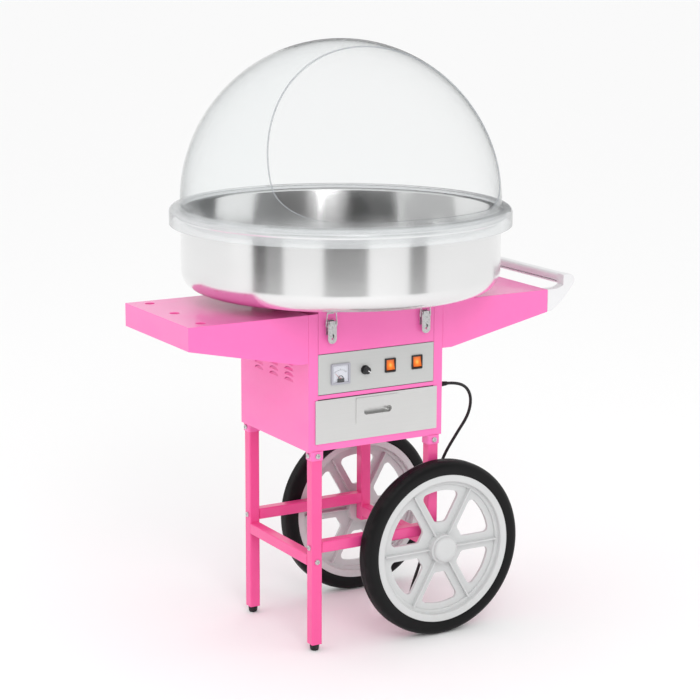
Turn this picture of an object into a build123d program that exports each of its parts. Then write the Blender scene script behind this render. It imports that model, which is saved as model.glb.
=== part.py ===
from build123d import *
import math
import os

# Candy-floss machine on a two-wheeled cart, in millimetres.
# +Z is up, +X runs from the leg end to the push handle, the control panel faces -Y.
# Everything is drawn about the bowl's upright axis and moved once, on export,
# so that the origin lies under the middle of the whole cart, on the floor.

# ---- overall sizes -------------------------------------------------------------
wheel_d = 398.0
cabinet_w = 335.4          # across the side panels
cabinet_d = 314.0          # front to back
cabinet_h = 299.0
wheel_clear = 52.0         # from the wheels' top up to the cabinet
shelf_l = 279.8            # from the cabinet's side to a shelf's end
handle_l = 74.5            # from the shelf's end to the handle's tip
sheet = 1.5                # body sheet metal
fold_round = 1.2           # outside radius of a fold
seam = 0.2                 # gap between neighbouring sheets
fold_gap = 0.3             # gap between a moving piece and its neighbour
turn_fit = 0.08            # radial clearance of a turning shaft

half_w = cabinet_w / 2
half_d = cabinet_d / 2
front = -half_d            # plane of the cabinet's front
cabinet_bottom = wheel_d + wheel_clear
cabinet_top = cabinet_bottom + cabinet_h   # top of the cabinet and of both shelves
shelf_reach = half_w + shelf_l             # both measured from the bowl's axis
handle_reach = shelf_reach + handle_l

# ---- legs and rails --------------------------------------------------------------
leg_size = 25.0
leg_wall = 1.5
leg_corner = 3.0
leg_x = half_w - leg_size / 2 - 8.2        # leg centres
leg_y = half_d - leg_size / 2 + 0.5
foot_h = 15.0
foot_d = leg_size - 3.0
foot_stem = 12.0
foot_round = 4.0
sleeve_wall = 2.0
sleeve_gap = 0.5
sleeve_h = 20.0
sleeve_bolt_z = cabinet_bottom - sleeve_h / 2
rail_y_z = wheel_d / 2 + 4.0               # centre height of the crosswise rails
rail_x_z = rail_y_z + 31.0                 # centre height of the lengthwise rails
short_leg_end = wheel_d / 2 - 19.0         # lower end of the two legs that carry the axle
end_plate = 3.0
bolt_d = 6.0
bolt_head_d = 12.0
bolt_head_h = 3.6
bolt_head_round = 2.4
bolt_slot = 1.4
bolt_hole = 6.6
thread_hole = 6.2
frame_bolt_l = leg_size + 11.0
sleeve_bolt_l = 9.0

# ---- wheels ----------------------------------------------------------------------
tyre_w = 42.0
tyre_round = 15.0
tyre_bead = 5.0            # radial height of the narrow seat edge
wheel_gap = 2.5            # between the legs and the tyres
wheel_x = leg_x + 3.0
wheel_y = leg_y + leg_size / 2 + tyre_w / 2 + wheel_gap   # middle plane of each tyre
rim_d = wheel_d - 62.0     # seat of the tyre
rim_w = 40.0
rim_band = 16.0            # radial height of the raised rim
rim_step = 8.0             # radial height of the step inside the raised rim
rim_step_w = 18.0
rim_round = 3.0
web_t = 7.0
web_round = 1.5
spoke_count = 6
spoke_w = 34.0
spoke_rib = 3.0
spoke_rib_h = 14.0
window_in = 58.0           # radii between which the windows lie
window_out = rim_d / 2 - 38.0
window_round = 11.0
hub_d = 65.0
hub_out = 22.0             # hub end beyond the middle plane
cap_d = 56.0
cap_h = 13.0
cap_wall = 2.0
cap_round = 7.0
axle_d = 12.0
axle_end = 3.0             # beyond the pin
washer_t = 1.0
washer_d = 24.0
pin_d = 3.0
pin_l = 20.0
pin_gap = 0.1

# ---- cabinet ---------------------------------------------------------------------
post_w = 22.5              # folded front edge of a side panel
back_flange = 16.0
louvre_w = 40.0
louvre_h = 7.5
louvre_pitch = 12.0
louvre_rows = 8
louvre_first = cabinet_top - 159.0
louvre_step = 69.0         # between the columns
louvre_tilt = 26.0
sill_h = 15.5              # strip below the drawer
drawer_bay_h = 113.0
divider_z = cabinet_bottom + drawer_bay_h
divider_lip = 8.5
shelf_end_h = 50.5
shelf_root_h = 105.0
shelf_flat = 24.0
cone_hole_d = 22.0
cone_hole_step = half_d - 32.0
cone_hole_edge = 43.5      # from the shelf's end to the row of holes

# ---- push handle -----------------------------------------------------------------
grip_w = 24.0
grip_h = 23.0
grip_top = cabinet_top + 30.0
grip_inset = 8.0           # from the handle's tip to the grip
grip_round = 6.0
grip_slit = 2.5
grip_slit_z = 5.0          # above the grip's underside
horn_w = 22.0
horn_round = 3.0

# ---- drawer ----------------------------------------------------------------------
drawer_front_w = cabinet_w - 30.4
drawer_front_z = cabinet_bottom + sill_h + 0.5
drawer_front_h = divider_z - 1.5 - drawer_front_z
drawer_front_t = 2.5
drawer_back_gap = drawer_front_t + fold_gap
drawer_w = cabinet_w - 64.4
drawer_h = drawer_front_h - 18.5
drawer_bottom = drawer_front_z + 5.0
drawer_depth = cabinet_d - 49.0
drawer_wall = 1.2
runner_h = 46.0
runner_ledge = 20.0
runner_base = 18.0
runner_gap = 1.5
pull_w = 108.0
pull_h = drawer_front_h - 37.5
pull_x = 1.0
pull_drop = 5.0            # from the drawer front's top edge to the pull's plate
pull_t = 1.5
slot_w = 72.0
slot_h = 17.0
slot_depth = 14.0
slot_fit = 0.2
pull_slot_drop = 36.0      # from the drawer front's top edge to the slot's middle

# ---- machine ---------------------------------------------------------------------
machine_w = cabinet_w - 2 * post_w - 1.6
machine_back = half_d - 7.0
machine_top = cabinet_top + 16.0
panel_scale = machine_w / 288.8            # the controls spread with the panel's width
panel_gap = 1.5            # shadow line above and below the panel
panel_z = divider_z + divider_lip + panel_gap
panel_h = 87.0
panel_t = 2.0
vent_count = 6
vent_h = 6.0
vent_pitch = 20.0
vent_first = divider_z + 37.0
vent_half = 60.0
shaft_passage = 40.0
control_z = panel_z + 44.0                 # height of the knob
meter_x = -91.0 * panel_scale
meter_z = panel_z + 41.6
meter_w = 46.0
meter_h = 45.0
meter_proud = 4.5
meter_body_d = 38.0
meter_depth = 30.0
meter_wall = 4.0
meter_open_w = meter_w - 2 * meter_wall
meter_open_h = meter_h - 2 * meter_wall
window_t = 1.2
needle_l = 17.0
needle_tail = 4.0
needle_boss_d = 5.0
needle_drop = 11.0
needle_y = front - 1.5
knob_x = -30.0 * panel_scale
knob_d = 20.0
knob_h = 14.0
knob_skirt = 3.0
knob_flutes = 16
flute_d = 1.4
pot_shaft_d = 6.0
pot_d = 24.0
pot_h = 12.0
rocker_xs = (33.5 * panel_scale, 101.5 * panel_scale)
rocker_z = panel_z + 47.0
rocker_w = 20.0
rocker_h = 22.0
rocker_t = 10.0
rocker_pivot_d = 3.0
rocker_pivot_l = 0.4       # both stubs together
rocker_dish = 60.0
rocker_dish_depth = 1.2
rocker_axis_y = front + 2.5
bezel_w = 27.0
bezel_h = 31.0
bezel_t = 2.5
rocker_body_w = 23.0
rocker_body_h = 27.0
rocker_depth = 22.0
rocker_tilt = 12.0
ring_z = machine_top - 45.0                # slip rings
ring_h = 24.0
ring_d = 36.0
ring_pitch = 12.0
ring_first = 6.0
motor_d = 110.0
motor_z = divider_z + 37.0
motor_h = ring_z - 10.0 - motor_z
motor_round = 6.0
motor_plate = 140.0
motor_plate_t = 4.0
pillar_d = 10.0
shaft_d = 12.0
shaft_seat = 0.02          # radial clearance of what is fixed on the shaft
shaft_low = motor_z + 50.0
brush_w = 24.0
brush_arm_w = 20.0
brush_arm_t = 4.0
board_x = 52.4 - machine_w / 2
board_y = machine_back - 38.0
board_w = 80.0
board_d = 60.0
board_t = 1.6
board_lift = 8.0
capacitor_d = 18.0
capacitor_h = 27.0
sink_h = 18.0
terminal_h = 11.0

# ---- spinner head ----------------------------------------------------------------
bowl_gap = 8.0             # between the machine's top and the bowl
bowl_bottom = machine_top + bowl_gap
head_d = 140.0
head_z = bowl_bottom + 27.0
head_h = 62.0
pan_t = 4.0
pan_lip = 4.0
sugar_cup_d = head_d - 58.0
band_t = 2.0
band_slots = 40
band_slot_w = 2.2
heater_d = head_d - 22.0
heater_turn = 4.0
heater_pitch = 8.0
heater_first = 14.0
heater_turns = 4
insulator_h = 44.0

# ---- bowl and dome ---------------------------------------------------------------
bowl_d = 700.0             # outside of the wall
bowl_h = 170.0
bowl_rim_z = bowl_bottom + bowl_h
bowl_corner = 41.0
bowl_t = 1.5
bowl_hole_d = head_d + 30.0
bowl_lip_h = 10.0
roll_d = 13.0
dome_r = bowl_d / 2 + 1.0
dome_z = bowl_rim_z + 18.0                 # centre of the sphere
dome_t = 3.0
flange_r = bowl_d / 2 + 25.0
flange_top = bowl_rim_z + 10.0
flange_low = bowl_rim_z - 28.0
flange_round = 12.0
ledge_w = 4.0              # ring inside the flange that rests on the bowl's rolled rim
cut_tilt = 23.0            # the opening's slope from upright
cut_distance = dome_r - 139.0              # from the sphere's centre to the opening's plane
cut_low = flange_top + 12.0
cut_round = 110.0
cut_spare = 60.0           # how far the opening's tool reaches past the dome
buffer_d = 30.0
buffer_xy = 100.0

# ---- latches ---------------------------------------------------------------------
latch_x = machine_w / 2 - 27.4
latch_w = 21.0
latch_t = 1.5
latch_pivot_z = bowl_bottom - 43.0
latch_pivot_y = 8.0        # in front of the machine
latch_pin_d = 3.0
latch_top = 3.0
latch_slot = 3.2           # slots that let the base's ears through when the lever opens
latch_low = 45.5           # below the pivot
latch_stand = 3.0          # from the pivot to the lever's plate
latch_hole_d = 4.5
latch_base_w = 18.0
latch_base_low = 28.0
latch_base_top = 4.0
latch_ear = 2.7
lever_ear_d = 5.2
bail_drop = 8.0            # from the lever's pivot to the bail's
bail_wire = 2.5
bail_low_w = 27.0
bail_top_w = 21.0
bail_h = 31.0
bail_lean = 1.5
keeper_w = 16.0
keeper_low = bowl_bottom - 25.0
keeper_hook = 3.0

# ---- mains lead ------------------------------------------------------------------
cord_d = 7.0
gland_y = front + 30.0
gland_z = cabinet_bottom + 105.0
gland_l = 32.0
gland_nut_l = 6.0
gland_hex = 14.0
gland_d = 13.0
cord_low = cord_d / 2 + 0.1
coil_x = half_w + 22.3
coil_y = front + 60.0
coil_mid_d = 84.0          # across the middle of the turns
coil_layers = 2
coil_columns = 2
plug_w = 34.0
plug_h = 26.0
plug_l = 36.0
plug_back = 18.0           # from the coil's middle back to the plug's neck
plug_neck_l = 26.0
plug_neck_d = 14.0
plug_pin_d = 4.8
plug_pin_l = 19.0
plug_pin_step = 19.0
rise = gland_z / 555.0     # the lead's heights stretch with the height of its gland
cord_route = [
    (half_w + gland_l, gland_y, gland_z),
    (half_w + 70.3, front + 32.0, 553.0 * rise),
    (half_w + 104.3, front + 40.0, 522.0 * rise),
    (half_w + 106.3, front + 49.0, 474.0 * rise),
    (half_w + 76.3, front + 56.0, 428.0 * rise),
    (half_w + 44.3, front + 61.0, 378.0 * rise),
    (half_w + 26.3, front + 64.0, 320.0 * rise),
    (half_w + 17.3, front + 66.0, 258.0 * rise),
    (half_w + 7.3, front + 64.0, 196.0 * rise),
    (half_w - 13.7, front + 59.0, 140.0 * rise),
    (half_w - 41.7, front + 50.0, 88.0 * rise),
    (half_w - 59.7, front + 36.0, 52.0 * rise),
    (half_w - 53.7, front + 24.0, 20.0 * rise),
    (half_w - 27.7, front + 16.0, cord_low),
    (half_w + 0.3, coil_y - coil_mid_d / 2 - cord_d / 2, cord_low),
]

cart_x = (shelf_reach - handle_reach) / 2


# ---- small helpers ---------------------------------------------------------------
def block(x0, x1, y0, y1, z0, z1):
    size = Box(abs(x1 - x0), abs(y1 - y0), abs(z1 - z0))
    return Pos((x0 + x1) / 2, (y0 + y1) / 2, (z0 + z1) / 2) * size


def rod_x(d, x0, x1, y, z):
    return Pos((x0 + x1) / 2, y, z) * Rot(0, 90, 0) * Cylinder(d / 2, abs(x1 - x0))


def rod_y(d, y0, y1, x, z):
    return Pos(x, (y0 + y1) / 2, z) * Rot(90, 0, 0) * Cylinder(d / 2, abs(y1 - y0))


def rod_z(d, z0, z1, x=0.0, y=0.0):
    return Pos(x, y, (z0 + z1) / 2) * Cylinder(d / 2, abs(z1 - z0))


def tube_z(d_out, d_in, z0, z1):
    return rod_z(d_out, z0, z1) - rod_z(d_in, z0 - 1, z1 + 1)


def turned(points, round_points=()):
    """A solid of revolution about Z from (radius, height) corners, some of them rounded."""
    face = Plane.XZ * make_face(Polyline(*points, close=True))
    for index, radius in round_points:
        target = points[index]
        near = face.vertices().sort_by_distance(Vector(target[0], 0, target[1]))[0]
        face = fillet(near, radius)
    return revolve(face, Axis.Z)


def group(*solids):
    """Several separate solids that share one node."""
    return Compound([s for piece in solids for s in piece.solids()])


def save(name, shape):
    moved = Pos(cart_x, 0, 0) * shape
    export_step(moved, os.path.join("parts", name + ".step"))


# ---- legs, rails, bolts ------------------------------------------------------------
def square_tube(length):
    outer = Box(leg_size, leg_size, length)
    outer = fillet(outer.edges().filter_by(Axis.Z), leg_corner)
    inner = Box(leg_size - 2 * leg_wall, leg_size - 2 * leg_wall, length + 2)
    inner = fillet(inner.edges().filter_by(Axis.Z), leg_corner - leg_wall)
    return outer - inner


def leg_low(sx):
    return foot_h if sx < 0 else short_leg_end


def leg(sx, sy):
    low = leg_low(sx)
    high = cabinet_bottom - seam
    body = Pos(sx * leg_x, sy * leg_y, (low + high) / 2) * square_tube(high - low)
    reach = leg_size / 2 + 1
    x_in, x_out = sx * (leg_x - reach), sx * (leg_x + reach)
    y_in, y_out = sy * (leg_y - reach), sy * (leg_y + reach)
    body -= rod_x(bolt_hole, x_in, x_out, sy * leg_y, rail_x_z)
    if sx < 0:
        body -= rod_y(bolt_hole, y_in, y_out, sx * leg_x, rail_y_z)
    else:
        body -= rod_y(axle_d + 2 * turn_fit, y_in, y_out, wheel_x, wheel_d / 2)
    body -= rod_x(bolt_hole, sx * leg_x, x_out, sy * leg_y, sleeve_bolt_z)
    body -= rod_y(bolt_hole, sy * leg_y, y_out, sx * leg_x, sleeve_bolt_z)
    return body


def rail_tube(length):
    body = square_tube(length)
    inner = leg_size - 2 * leg_wall
    plate = Box(inner, inner, end_plate)
    plate = fillet(plate.edges().filter_by(Axis.Z), leg_corner - leg_wall)
    for end in (-1, 1):
        body += Pos(0, 0, end * (length - end_plate) / 2) * plate
    return body


def lengthwise_rail(sy):
    reach = leg_x - leg_size / 2
    body = Pos(0, sy * leg_y, rail_x_z) * Rot(0, 90, 0) * rail_tube(2 * reach)
    return body - rod_x(thread_hole, -reach - 1, reach + 1, sy * leg_y, rail_x_z)


def crosswise_rail(sx):
    reach = leg_y - leg_size / 2
    body = Pos(sx * leg_x, 0, rail_y_z) * Rot(90, 0, 0) * rail_tube(2 * reach)
    if sx < 0:
        return body - rod_y(thread_hole, -reach - 1, reach + 1, sx * leg_x, rail_y_z)
    return body - rod_y(axle_d + 2 * turn_fit, -reach - 1, reach + 1, wheel_x, wheel_d / 2)


def foot():
    radius = foot_d / 2
    stem = (leg_size - 2 * leg_wall) / 2 - 1
    outline = [
        (0, 0), (radius - 1.5, 0), (radius, foot_h), (stem, foot_h),
        (stem - 1, foot_h + foot_stem), (0, foot_h + foot_stem),
    ]
    return turned(outline, [(1, foot_round)])


def pan_bolt(length):
    """Pan-head bolt along Z: the head's seat at z=0, the shank below it."""
    r = bolt_head_d / 2
    head = turned([(0, 0), (r, 0), (r, bolt_head_h), (0, bolt_head_h)], [(2, bolt_head_round)])
    recess = Pos(0, 0, bolt_head_h) * (Box(r, bolt_slot, r / 2) + Box(bolt_slot, r, r / 2))
    return head - recess + rod_z(bolt_d, -length, 0)


def fasteners():
    pieces = []
    face_x = leg_x + leg_size / 2
    face_y = leg_y + leg_size / 2
    sleeve_out = sleeve_gap + sleeve_wall
    for sx in (-1, 1):
        for sy in (-1, 1):
            towards_x = Rot(0, sx * 90, 0)
            towards_y = Rot(-sy * 90, 0, 0)
            pieces.append(Pos(sx * face_x, sy * leg_y, rail_x_z) * towards_x * pan_bolt(frame_bolt_l))
            if sx < 0:
                at = Pos(sx * leg_x, sy * face_y, rail_y_z)
                pieces.append(at * towards_y * pan_bolt(frame_bolt_l))
            at = Pos(sx * (face_x + sleeve_out), sy * leg_y, sleeve_bolt_z)
            pieces.append(at * towards_x * pan_bolt(sleeve_bolt_l))
            at = Pos(sx * leg_x, sy * (face_y + sleeve_out), sleeve_bolt_z)
            pieces.append(at * towards_y * pan_bolt(sleeve_bolt_l))
    washer = tube_z(washer_d, axle_d + 2 * turn_fit, 0, washer_t)
    for sy in (-1, 1):
        away = Rot(-sy * 90, 0, 0)
        pieces.append(Pos(wheel_x, sy * (face_y + 0.02), wheel_d / 2) * away * washer)
        hub_end = wheel_y + hub_out + fold_gap
        pieces.append(Pos(wheel_x, sy * hub_end, wheel_d / 2) * away * washer)
        pin_y = sy * (hub_end + washer_t + pin_d / 2 + pin_gap)
        pin = rod_z(pin_d, wheel_d / 2 - pin_l / 2, wheel_d / 2 + pin_l / 2, wheel_x, pin_y)
        pieces.append(pin)
    return group(*pieces)


def axle():
    end = wheel_y + hub_out + fold_gap + washer_t + pin_d + axle_end
    pin_y = wheel_y + hub_out + fold_gap + washer_t + pin_d / 2 + pin_gap
    body = rod_y(axle_d, -end, end, wheel_x, wheel_d / 2)
    for sy in (-1, 1):
        body -= rod_z(pin_d + 2 * pin_gap, 0, wheel_d, wheel_x, sy * pin_y)
    return body


# ---- wheels --------------------------------------------------------------------------
def outward(sy, shape):
    """Turn a wheel piece that was drawn about Z so that +Z faces away from the cart."""
    return Pos(wheel_x, sy * wheel_y, wheel_d / 2) * Rot(-sy * 90, 0, 0) * shape


def wheel_body():
    r = rim_d / 2
    step = r - rim_band
    inner = step - rim_step
    w, s, t = rim_w / 2, rim_step_w / 2, web_t / 2
    hub_in = -(wheel_y - leg_y - leg_size / 2 - washer_t - fold_gap)
    bore = axle_d / 2 + turn_fit
    hub = hub_d / 2
    outline = [
        (bore, hub_in), (hub, hub_in), (hub, -t), (inner, -t), (inner, -s), (step, -s),
        (step, -w), (r, -w), (r, w), (step, w), (step, s), (inner, s), (inner, t),
        (hub, t), (hub, hub_out), (bore, hub_out),
    ]
    rounds = [(9, rim_round), (6, rim_round), (8, web_round), (7, web_round), (11, web_round)]
    body = turned(outline, rounds)
    sector = Circle(window_out) - Circle(window_in)
    for k in range(spoke_count // 2):
        sector -= Rot(0, 0, k * 360 / spoke_count) * Rectangle(2 * r, spoke_w)
    body -= extrude(fillet(sector.vertices(), window_round), amount=web_t, both=True)
    for k in range(spoke_count):
        rib = block(hub - 1, inner + 1, -spoke_rib / 2, spoke_rib / 2, -spoke_rib_h, spoke_rib_h)
        body += Rot(0, 0, k * 360 / spoke_count) * rib
    return body


def tyre():
    r, seat, w = wheel_d / 2, rim_d / 2, tyre_w / 2
    bead = seat + tyre_bead
    outline = [(seat, -w + 2), (bead, -w), (r, -w), (r, w), (bead, w), (seat, w - 2)]
    return turned(outline, [(2, tyre_round), (3, tyre_round)])


def hub_cap():
    r = cap_d / 2
    z0 = hub_out
    outer = turned([(0, z0), (r, z0), (r, z0 + cap_h), (0, z0 + cap_h)], [(2, cap_round)])
    inner = rod_z(cap_d - 2 * cap_wall, z0 - 1, z0 + cap_h - cap_wall - 1.0)
    return outer - inner


# ---- cabinet ---------------------------------------------------------------------------
def half_moon(width, height, depth):
    """Upright half-moon plate: flat edge down at z=0, its thickness along Y."""
    face = make_face(
        [EllipticalCenterArc((0, 0), width / 2, height, start_angle=0, arc_size=180),
         Line((-width / 2, 0), (width / 2, 0))]
    )
    return extrude(Plane.XZ * face, amount=depth / 2, both=True)


def louvre_cut():
    return half_moon(louvre_w, louvre_h, 3 * sheet)


def louvre_blade():
    """Half-moon pressed inwards about its lower edge; +Y is the inner side."""
    blade = Pos(0, sheet / 2, 0) * half_moon(louvre_w - 0.8, louvre_h - 0.4, 1.0)
    root = block(-louvre_w / 2 + 1, louvre_w / 2 - 1, 0, sheet, -1.0, 0.4)
    return Rot(-louvre_tilt, 0, 0) * blade + root


def louvred(plate, spots, facing):
    """Cut and press the louvres; facing turns a louvre so that its +Y points inwards."""
    for spot in spots:
        plate -= Pos(*spot) * facing * louvre_cut()
    for spot in spots:
        plate += Pos(*spot) * facing * louvre_blade()
    return plate


def side_panel(sx):
    x_out, x_in = sx * half_w, sx * (half_w - sheet)
    body = block(x_out, x_in, -half_d, half_d, cabinet_bottom, cabinet_top)
    body += block(x_out, sx * (half_w - post_w), front, front + sheet, cabinet_bottom, cabinet_top)
    body += block(x_out, sx * (half_w - back_flange), half_d - sheet, half_d, cabinet_bottom, cabinet_top)
    folds = body.edges().filter_by(Axis.Z).filter_by(lambda e: abs(e.center().X - x_out) < 0.01)
    body = fillet(folds, fold_round)
    heights = [louvre_first + k * louvre_pitch for k in range(louvre_rows)]
    spots = [(x_out, y, z) for y in (-louvre_step, 0.0, louvre_step) for z in heights]
    body = louvred(body, spots, Rot(0, 0, -90 if sx < 0 else 90))
    if sx > 0:
        body -= rod_x(gland_d + 0.6, x_in - 2, x_out + 2, gland_y, gland_z)
    return body


def back_panel():
    reach = half_w - sheet - seam
    y1 = half_d - sheet - seam
    z0, z1 = cabinet_bottom + sheet + seam, cabinet_top - sheet
    body = block(-reach, reach, y1 - sheet, y1, z0, z1)
    heights = [louvre_first + k * louvre_pitch for k in range(louvre_rows)]
    spots = [(x, y1, z) for x in (-louvre_step, 0.0, louvre_step) for z in heights]
    return louvred(body, spots, Rot(0, 0, 180))


def cabinet_floor():
    reach = half_w - sheet - seam
    y_back = half_d - 2 * sheet - 2 * seam
    z0 = cabinet_bottom
    body = block(-reach, reach, front + sheet + seam, y_back, z0, z0 + sheet)
    sill_w = half_w - post_w - seam
    body += block(-sill_w, sill_w, front, front + sheet + 0.4, z0, z0 + sill_h)
    sleeve_in = leg_size + 2 * sleeve_gap
    sleeve_out = sleeve_in + 2 * sleeve_wall
    for sx in (-1, 1):
        for sy in (-1, 1):
            ring = Box(sleeve_out, sleeve_out, sleeve_h)
            ring = fillet(ring.edges().filter_by(Axis.Z), leg_corner + sleeve_gap + sleeve_wall)
            hole = Box(sleeve_in, sleeve_in, sleeve_h + 2)
            hole = fillet(hole.edges().filter_by(Axis.Z), leg_corner + sleeve_gap)
            at = Pos(sx * leg_x, sy * leg_y, z0 - sleeve_h / 2)
            body += at * (ring - hole)
            reach_x = sx * (leg_x + sleeve_out)
            reach_y = sy * (leg_y + sleeve_out)
            body -= rod_x(bolt_hole, sx * leg_x, reach_x, sy * leg_y, sleeve_bolt_z)
            body -= rod_y(bolt_hole, sy * leg_y, reach_y, sx * leg_x, sleeve_bolt_z)
    return body


def divider_plate():
    reach = half_w - sheet - seam
    y_back = half_d - 2 * sheet - 2 * seam
    lip_w = half_w - post_w - seam
    body = block(-reach, reach, front + sheet + seam, y_back, divider_z, divider_z + sheet)
    body += block(-lip_w, lip_w, front, front + sheet + 0.4, divider_z, divider_z + divider_lip)
    return body


def shelf(sx):
    """Folded tray: flat top, deep sides that slope up to a shallow end."""
    root, end = half_w, shelf_reach
    low_end, low_root = cabinet_top - shelf_end_h, cabinet_top - shelf_root_h
    outline = [
        (sx * end, low_end), (sx * end, cabinet_top), (sx * root, cabinet_top),
        (sx * root, low_root), (sx * (root + shelf_flat), low_root),
    ]
    side = make_face(Polyline(*outline, close=True))
    solid = extrude(Plane.XZ * side, amount=half_d, both=True)
    sides = solid.edges().filter_by(lambda e: abs(abs(e.center().Y) - half_d) < 0.01)
    folds = sides.filter_by(lambda e: abs(e.center().X - sx * root) < 0.01
                            or abs(e.center().X - sx * end) < 0.01
                            or abs(e.center().Z - cabinet_top) < 0.01)
    tip = solid.edges().filter_by(Axis.Y).filter_by(
        lambda e: abs(e.center().X - sx * end) < 0.01 and abs(e.center().Z - cabinet_top) < 0.01)
    solid = fillet(folds + tip, fold_round)
    inner = block(sx * (root + sheet), sx * (end - sheet), -half_d + sheet, half_d - sheet,
                  low_root - 1, cabinet_top - sheet)
    body = solid - inner
    body -= block(sx * (root - 1), sx * (root + sheet + 1), -half_d + sheet, half_d - sheet,
                  low_root - 1, low_end)
    if sx < 0:
        for k in (-1, 0, 1):
            body -= rod_z(cone_hole_d, cabinet_top - 3 * sheet, cabinet_top + 1,
                          sx * (end - cone_hole_edge), k * cone_hole_step)
    return body


# ---- push handle -------------------------------------------------------------------------
def horn_face():
    """Side outline of a handle horn, from the shelf's end out to the grip."""
    root, tip = shelf_reach, handle_reach
    low = cabinet_top - shelf_end_h
    notch = tip - grip_w - grip_inset
    return make_face([
        Line((root, low), (root + 12, low + 1)),
        ThreePointArc((root + 12, low + 1), (root + 43, low + 25), (tip - 6, grip_top - 26)),
        ThreePointArc((tip - 6, grip_top - 26), (tip, grip_top - 13), (tip - 11, grip_top)),
        Line((tip - 11, grip_top), (notch, grip_top)),
        Line((notch, grip_top), (notch, grip_top - grip_h)),
        ThreePointArc((notch, grip_top - grip_h), (tip - 43, cabinet_top + 2),
                      (root + 22, cabinet_top)),
        Line((root + 22, cabinet_top), (root, cabinet_top)),
        Line((root, cabinet_top), (root, low)),
    ])


def horn(sy):
    body = extrude(Plane.XZ * horn_face(), amount=horn_w / 2, both=True)
    notch_x = handle_reach - grip_w - grip_inset
    outer = body.edges().filter_by(lambda e: abs(abs(e.center().Y) - horn_w / 2) < 0.01)
    outer = outer.filter_by(
        lambda e: e.center().X > notch_x + 0.1 or shelf_reach + 1 < e.center().X < notch_x + 8
        and e.center().Z < cabinet_top - horn_round)
    body = fillet(outer, horn_round)
    return Pos(0, sy * (half_d - horn_w / 2), 0) * body


def grip():
    x1 = handle_reach - grip_inset
    reach = half_d - horn_w
    body = block(x1 - grip_w, x1, -reach, reach, grip_top - grip_h, grip_top)
    body = fillet(body.edges().filter_by(Axis.Y), grip_round)
    z = grip_top - grip_h + grip_slit_z
    return body - block(x1 - grip_w - 1, x1 - grip_w + 5, -reach + 4, reach - 4, z, z + grip_slit)


# ---- drawer ------------------------------------------------------------------------------
def drawer_front():
    y1 = front - fold_gap
    z0, z1 = drawer_front_z, drawer_front_z + drawer_front_h
    body = block(-drawer_front_w / 2, drawer_front_w / 2, y1 - drawer_front_t, y1, z0, z1)
    body = fillet(body.edges().filter_by(Axis.Y), 1.0)
    slot_z = z1 - pull_slot_drop
    hole = SlotOverall(slot_w, slot_h)
    return body - Pos(pull_x, y1 - drawer_front_t / 2, slot_z) * Rot(90, 0, 0) * extrude(
        hole, amount=drawer_front_t, both=True)


def drawer_pull():
    """Plate with a long finger slot that runs back into a closed cup."""
    y1 = front - drawer_back_gap
    z1 = drawer_front_z + drawer_front_h - pull_drop
    slot_z = drawer_front_z + drawer_front_h - pull_slot_drop
    plate = block(pull_x - pull_w / 2, pull_x + pull_w / 2, y1 - pull_t, y1, z1 - pull_h, z1)
    plate = fillet(plate.edges().filter_by(Axis.Y), 2.0)
    cup_w, cup_h = slot_w - 2 * slot_fit, slot_h - 2 * slot_fit
    cup = extrude(SlotOverall(cup_w, cup_h), amount=slot_depth)
    hollow = extrude(SlotOverall(cup_w - 2, cup_h - 2), amount=slot_depth + pull_t - 1)
    turn = Rot(-90, 0, 0)
    body = plate + Pos(pull_x, y1 - 0.001, slot_z) * turn * cup
    return body - Pos(pull_x, y1 - pull_t - 0.1, slot_z) * turn * hollow


def drawer_box():
    y0 = front - fold_gap
    x, z0 = drawer_w / 2, drawer_bottom
    body = block(-x, x, y0, y0 + drawer_depth, z0, z0 + drawer_h)
    body -= block(-x + drawer_wall, x - drawer_wall, y0 + drawer_wall,
                  y0 + drawer_depth - drawer_wall, z0 + drawer_wall, z0 + drawer_h + 1)
    slot_z = drawer_front_z + drawer_front_h - pull_slot_drop
    gap = block(pull_x - slot_w / 2 - 1, pull_x + slot_w / 2 + 1, y0 - 1, y0 + drawer_wall + 1,
                slot_z - slot_h / 2 - 1, slot_z + slot_h / 2 + 1)
    return body - gap


def drawer_runners():
    """Folded strips on the cabinet floor, each with a ledge that the drawer box slides on."""
    pieces = []
    z0 = cabinet_bottom + sheet
    x_in = drawer_w / 2 + runner_gap
    y0, y1 = front + sheet + 4, front + drawer_depth + 8
    for sx in (-1, 1):
        web = block(sx * x_in, sx * (x_in + sheet), y0, y1, z0, z0 + runner_h)
        ledge = block(sx * (x_in - runner_ledge), sx * x_in, y0, y1, drawer_bottom - fold_gap - sheet,
                      drawer_bottom - fold_gap)
        base = block(sx * (x_in + sheet), sx * (x_in + runner_base), y0, y1, z0, z0 + sheet)
        pieces.append(web + ledge + base)
    return group(*pieces)


# ---- machine body --------------------------------------------------------------------------
def machine_housing():
    x, y0, y1 = machine_w / 2, front, machine_back
    z0, z1 = divider_z + sheet, machine_top
    body = block(-x, x, y0, y1, z0, z1)
    body -= block(-x + sheet, x - sheet, y0 + sheet, y1 - sheet, z0 - 1, z1 - sheet)
    body -= block(-x - 1, x + 1, y0 - 1, y0 + panel_t, z0 - 1, panel_z + panel_h + panel_gap)
    body -= rod_z(shaft_passage, z1 - 2 * sheet, z1 + 1)
    for sx in (-1, 1):
        for k in range(vent_count):
            z = vent_first + vent_pitch * k
            body -= block(sx * (x - 2 * sheet), sx * (x + 1), -vent_half, vent_half, z, z + vent_h)
    return body


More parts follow.
